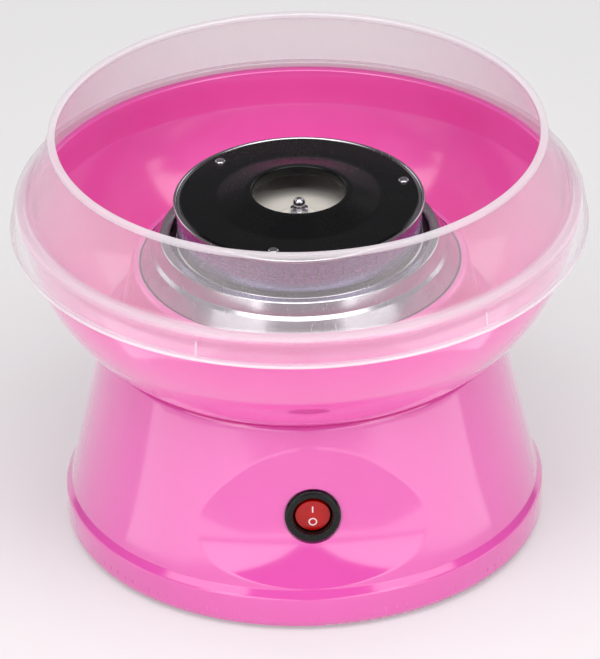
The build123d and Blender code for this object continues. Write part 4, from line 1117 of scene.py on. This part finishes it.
def pressed(points, bend):
    """Closed outline of a sheet: the rounded line, and the same line moved one sheet to its left.

    A bend to the left is wider by the sheet, so that the second skin's bend keeps its own radius.
    """
    corners = np.array(points, dtype=float)
    ahead = np.diff(corners, axis=0)
    turn = ahead[:-1, 0] * ahead[1:, 1] - ahead[:-1, 1] * ahead[1:, 0]
    bends = np.concatenate([[0.0], np.where(turn > 0, bend + sheet, bend), [0.0]])
    line = rounded(np.column_stack([corners, bends]), closed=False, steps=7)
    run = unit(np.diff(line, axis=0))
    along = unit(np.concatenate([run[:1], run[:-1] + run[1:], run[-1:]]))
    left = np.stack([-along[:, 1], along[:, 0]], axis=-1)
    return np.concatenate([line, (line + left * sheet)[::-1]])


collar_path = pressed([(65.3, 118.6), (61.2, 124.4), (59.7, 125.6), (57.3, 130.8), (53.2, 130.8),
                       (53.2, 127.6)], 0.35)
pan_path = pressed([(51.2, 127.3), (51.2, 129.6), (44.8, 127.4), (42.6, 118.6), (11.0, 118.6)], 0.4)
finished("collar", turned("collar", collar_path), ["heat_shield_collar"])
finished("pan", turned("pan", pan_path), ["reflector_pan"])

# %% [markdown]
# ## The spinning head
# A steel dish and a black lid are riveted over an upright band. The sugar leaves through the band's row of
# fine slots. A slot would be hard to cut afterwards, so the band is a grid from the start: the cells that
# are slots are left out of both skins, and four small walls join the skins round each.

# %% Dish, plate and lid
dish_path = pressed([(48.3, 135.6), (48.3, 132.6), (34.6, 132.6), (34.0, 130.9), (32.4, 130.9), (31.4, 134.4),
                     (9.5, 137.6), (7.5, 138.6), (2.1, 138.6)], 0.2)
plate_path = rounded([
    (37.5, 145.4),
    (50.6, 145.4),
    (51.6, 145.3, 0.75),
    (51.6, 146.9, 0.78),
    (50.0, 146.9, 0.78),
    (50.0, 146.1, 0.1),
    (37.5, 146.1),
])
lid_path = rounded([
    (49.0, 146.1),
    (49.0, 147.0, 0.5),
    (34.0, 147.0, 9.0),
    (21.9, 150.7, 2.6),
    (19.3, 151.0, 0.8),
    (19.3, 146.6, 0.3),
    (20.4, 146.6, 0.3),
    (20.4, 149.38, 0.8),
    (21.6, 149.29, 1.7),
    (34.0, 146.1, 8.1),
], steps=12)
washer_path = rounded([(2.1, 138.6), (6.4, 138.6), (6.4, 139.4, 0.3), (2.1, 139.4)])
finished("dish", turned("dish", dish_path), ["head_dish"])
finished("plate", turned("plate", plate_path), ["lid_plate"])
finished("lid", turned("lid", lid_path), ["head_lid"])
finished("washer", turned("washer", washer_path, 96), ["lock_washer"])

# %% Band with its slots
band_inner = 49.15
band_outer = 50.15
band_rows = np.array([131.8, 137.4, 141.8, 145.4])
slot_row = 1
slot_count = 60
slot_width = 0.4
plain_columns = 3


def band_mesh():
    """Two skins on one grid of angles and heights, open at the slots, with walls round each slot.

    In each pitch the first cell is the slot and the rest are plain, so cell j is a slot where j divides
    by the number of cells.
    """
    rows = len(band_rows)
    cells = plain_columns + 1
    columns = slot_count * cells
    slot_turn = slot_width / band_outer
    pitch = 2 * np.pi / slot_count
    plain = slot_turn / 2 + (pitch - slot_turn) * np.arange(plain_columns) / plain_columns
    turn = (np.arange(slot_count)[:, None] * pitch + np.concatenate([[-slot_turn / 2], plain])).ravel()
    points = np.concatenate([carried_round(np.column_stack([np.full(rows, radius), band_rows]), turn)
                             for radius in (band_outer, band_inner)])
    faces = grid_faces(rows, columns, False, True)
    row, column = np.divmod(np.arange(len(faces)), columns)
    solid = (row != slot_row) | (column % cells != 0)
    ends = np.concatenate([faces[row == 0][:, [1, 0]], faces[row == rows - 2][:, [3, 2]]])
    hole = faces[~solid]
    rims = np.concatenate([ends, hole[:, [0, 1]], hole[:, [1, 2]], hole[:, [2, 3]], hole[:, [3, 0]]])
    behind = rows * columns
    walls = np.column_stack([rims, rims[:, ::-1] + behind])
    return welded("band", [(points, np.concatenate([faces[solid], faces[solid][:, ::-1] + behind, walls]))])


# the band takes the steel with painted dark violet shade
finished("band", band_mesh(), ["spinneret_band"], finishes["steel_painted_dark"])

# %% [markdown]
# ## Rivets and nut
# Three rivets clamp the lid, and a domed nut holds the dish to its hub. A rivet is a small turned form
# repeated round the axis. The nut's foot is a hexagon whose corners are chamfered by a cone, so it could
# be cut, but a radius that is the lesser of the two gives the same form in one grid.

# %% Rivets
RIVET_AROUND = 48
rivet_ring = 44.7
rivet_angles = np.radians([14.0, 134.0, 254.0])
rivet_path = rounded([
    (0.0, 131.1),
    (2.2, 131.1, 0.3),
    (2.2, 131.8),
    (1.4, 131.8),
    (1.4, 147.0),
    (2.2, 147.0),
    (2.2, 147.9, 0.75),
    (0.0, 147.95),
])


def at_ring(path, radius, angles, around):
    """The same small turned form at several places of a ring."""
    points = carried_round(path, np.linspace(0, 2 * np.pi, around, endpoint=False))
    shifts = np.stack([radius * np.cos(angles), radius * np.sin(angles), 0 * angles], axis=-1)
    return [(points + shift, grid_faces(len(path), around, True, True)) for shift in shifts]


rivets = welded("rivets", at_ring(rivet_path, rivet_ring, rivet_angles, RIVET_AROUND))
finished("rivets", rivets, ["lid_rivets"])

# %% Nut
NUT_AROUND = 180
nut_flats = 7.0
nut_low = 139.4
nut_foot = 139.55
nut_shoulder = 141.8
nut_high = 142.6
chamfer_radii = (3.9, 4.3, 4.34, 2.7)
neck_top = 142.75
neck_radii = (2.3, 2.25)
dome_radius = 2.5
dome_height = 144.5
dome_start = -0.45


def nut_mesh():
    """Hexagon with a domed top: at each height the radius is the hexagon's or the chamfer cone's, if less.

    A hexagon's radius at the angle a from a flat's middle is half its flats over cos a.
    """
    turn = np.linspace(0, 2 * np.pi, NUT_AROUND, endpoint=False)
    off = (turn + np.pi / 6) % (np.pi / 3) - np.pi / 6
    hexagon = nut_flats / 2 / np.cos(off)
    levels = np.concatenate([[nut_low, nut_foot, 141.0], np.linspace(141.5, nut_high, 12)])
    cone = np.interp(levels, (nut_low, nut_foot, nut_shoulder, nut_high), chamfer_radii)
    sides = np.minimum(hexagon, cone[:, None])
    dome = np.linspace(dome_start, np.pi / 2, 22)
    upper_radius = np.concatenate([neck_radii, dome_radius * np.cos(dome)])
    upper_height = np.concatenate([[nut_high, neck_top], dome_height + dome_radius * np.sin(dome)])
    radius = np.concatenate([0 * hexagon[None, :], sides, upper_radius[:, None] + 0 * hexagon])
    height = np.concatenate([[nut_low], levels, upper_height])[:, None]
    points = np.stack([radius * np.cos(turn), radius * np.sin(turn), height + 0 * radius], axis=-1)
    return welded("nut", [(points, grid_faces(len(points), len(turn), False, True))])


finished("nut", nut_mesh(), ["cap_nut"])

# %% [markdown]
# ## Floor and studio light
# The machine stands on a plain pale floor under soft light. Glossy plastic shows its lights, so their
# shapes and places matter as much as their strength. A large corner box on each side stands on one corner,
# half below the floor: its inner edge leans outward and leaves the dark triangle under the switch. Cards
# and slips on the floor give the pale patches low on the base, keys at the sides light the collar, two
# boxes behind light the rims, and a wide one overhead fills the rest. The camera doesn't see them.
# Paper lit so strongly would burn out in front and turn grey far away. So a share of the floor's look is
# its own even white, and the world is bright to the camera and dim to everything else.

# %% Floor
FLOOR_HALF = 6.0
OWN_WHITE = 0.35
floor_mesh = bpy.data.meshes.new("floor")
floor_mesh.from_pydata([(-FLOOR_HALF, -FLOOR_HALF, 0), (FLOOR_HALF, -FLOOR_HALF, 0),
                        (FLOOR_HALF, FLOOR_HALF, 0), (-FLOOR_HALF, FLOOR_HALF, 0)], [], [(0, 1, 2, 3)])
floor = bpy.data.objects.new("floor", floor_mesh)
bpy.context.scene.collection.objects.link(floor)
floor_finish = Finish("floor_paper")
paper = floor_finish.blend(floor_finish.noise(3.0, 3.0), (0.81, 0.80, 0.80), (0.79, 0.78, 0.78))
lit = floor_finish.shade(base_color=paper, roughness=0.7, specular_ior_level=0.2)
white = floor_finish.add("ShaderNodeEmission", None, {"Color": (0.96, 0.95, 0.96, 1.0), "Strength": 1.0})
seen = sum(floor_finish.add("ShaderNodeLightPath", output=ray)
           for ray in ("Is Camera Ray", "Is Glossy Ray", "Is Transmission Ray"))
floor.data.materials.append(floor_finish.done(floor_finish.add(
    "ShaderNodeMixShader", None, {"Fac": seen * OWN_WHITE, 1: lit, 2: white})))
print("floor", 2 * FLOOR_HALF, "m wide,", OWN_WHITE, "of its look its own white")

# %% World
SHOWN = 0.75
FILL = 0.18
world = bpy.data.worlds.new("studio")
world.use_nodes = True
bpy.context.scene.world = world
tree = world.node_tree
background = tree.nodes["Background"]
background.inputs["Color"].default_value = (0.98, 0.97, 1.0, 1.0)
rays = tree.nodes.new("ShaderNodeLightPath")
strength = tree.nodes.new("ShaderNodeMapRange")
strength.inputs["To Min"].default_value = FILL
strength.inputs["To Max"].default_value = SHOWN
tree.links.new(rays.outputs["Is Camera Ray"], strength.inputs["Value"])
tree.links.new(strength.outputs["Result"], background.inputs["Strength"])
print("world:", SHOWN, "to the camera,", FILL, "to the rest")

# %% Softboxes


def softbox(name, place, aim, width, height, radiance, roll=0.0):
    """A rectangular area light turned to shine at a point; its power is pi times its area and radiance."""
    lamp = bpy.data.lights.new(name, "AREA")
    lamp.shape = "RECTANGLE"
    lamp.size = width
    lamp.size_y = height
    lamp.energy = float(np.pi * width * height * radiance)
    holder = bpy.data.objects.new(name, lamp)
    aimed = (Vector(aim) - Vector(place)).to_track_quat("-Z", "Y").to_matrix().to_4x4()
    holder.matrix_world = Matrix.Translation(place) @ aimed @ Matrix.Rotation(np.radians(roll), 4, "Z")
    holder.visible_camera = False
    bpy.context.scene.collection.objects.link(holder)


SOFT = 1.75
CARD = 0.72
KEY = 1.45
TOP = 3.1
BACK = 1.3
MIDDLE = (0.0, 0.0, 0.1)
for way, side in ((-1, "left"), (1, "right")):
    softbox(side + "_corner_box", (way * 1.455, -2.0, -0.067), (way * 1.455, 0.0, -0.067), 2.0, 2.0, SOFT, 45)
    softbox(side + "_card", (way * 0.30, -0.30, 0.002), (way * 0.30, -0.30, 1.0), 0.30, 0.50, CARD)
    softbox(side + "_slip", (way * 0.09, -0.455, 0.002), (way * 0.09, -0.455, 1.0), 0.12, 0.19, CARD)
    softbox(side + "_key", (way * 0.95, -0.75, 0.85), MIDDLE, 0.9, 0.9, KEY)
    softbox(side + "_back_box", (way * 1.0, 1.0, 0.75), MIDDLE, 0.8, 0.8, BACK)
softbox("top_box", (0.0, -0.38, 1.15), MIDDLE, 1.3, 1.0, TOP)

# %% View
bpy.context.scene.view_settings.view_transform = "Standard"
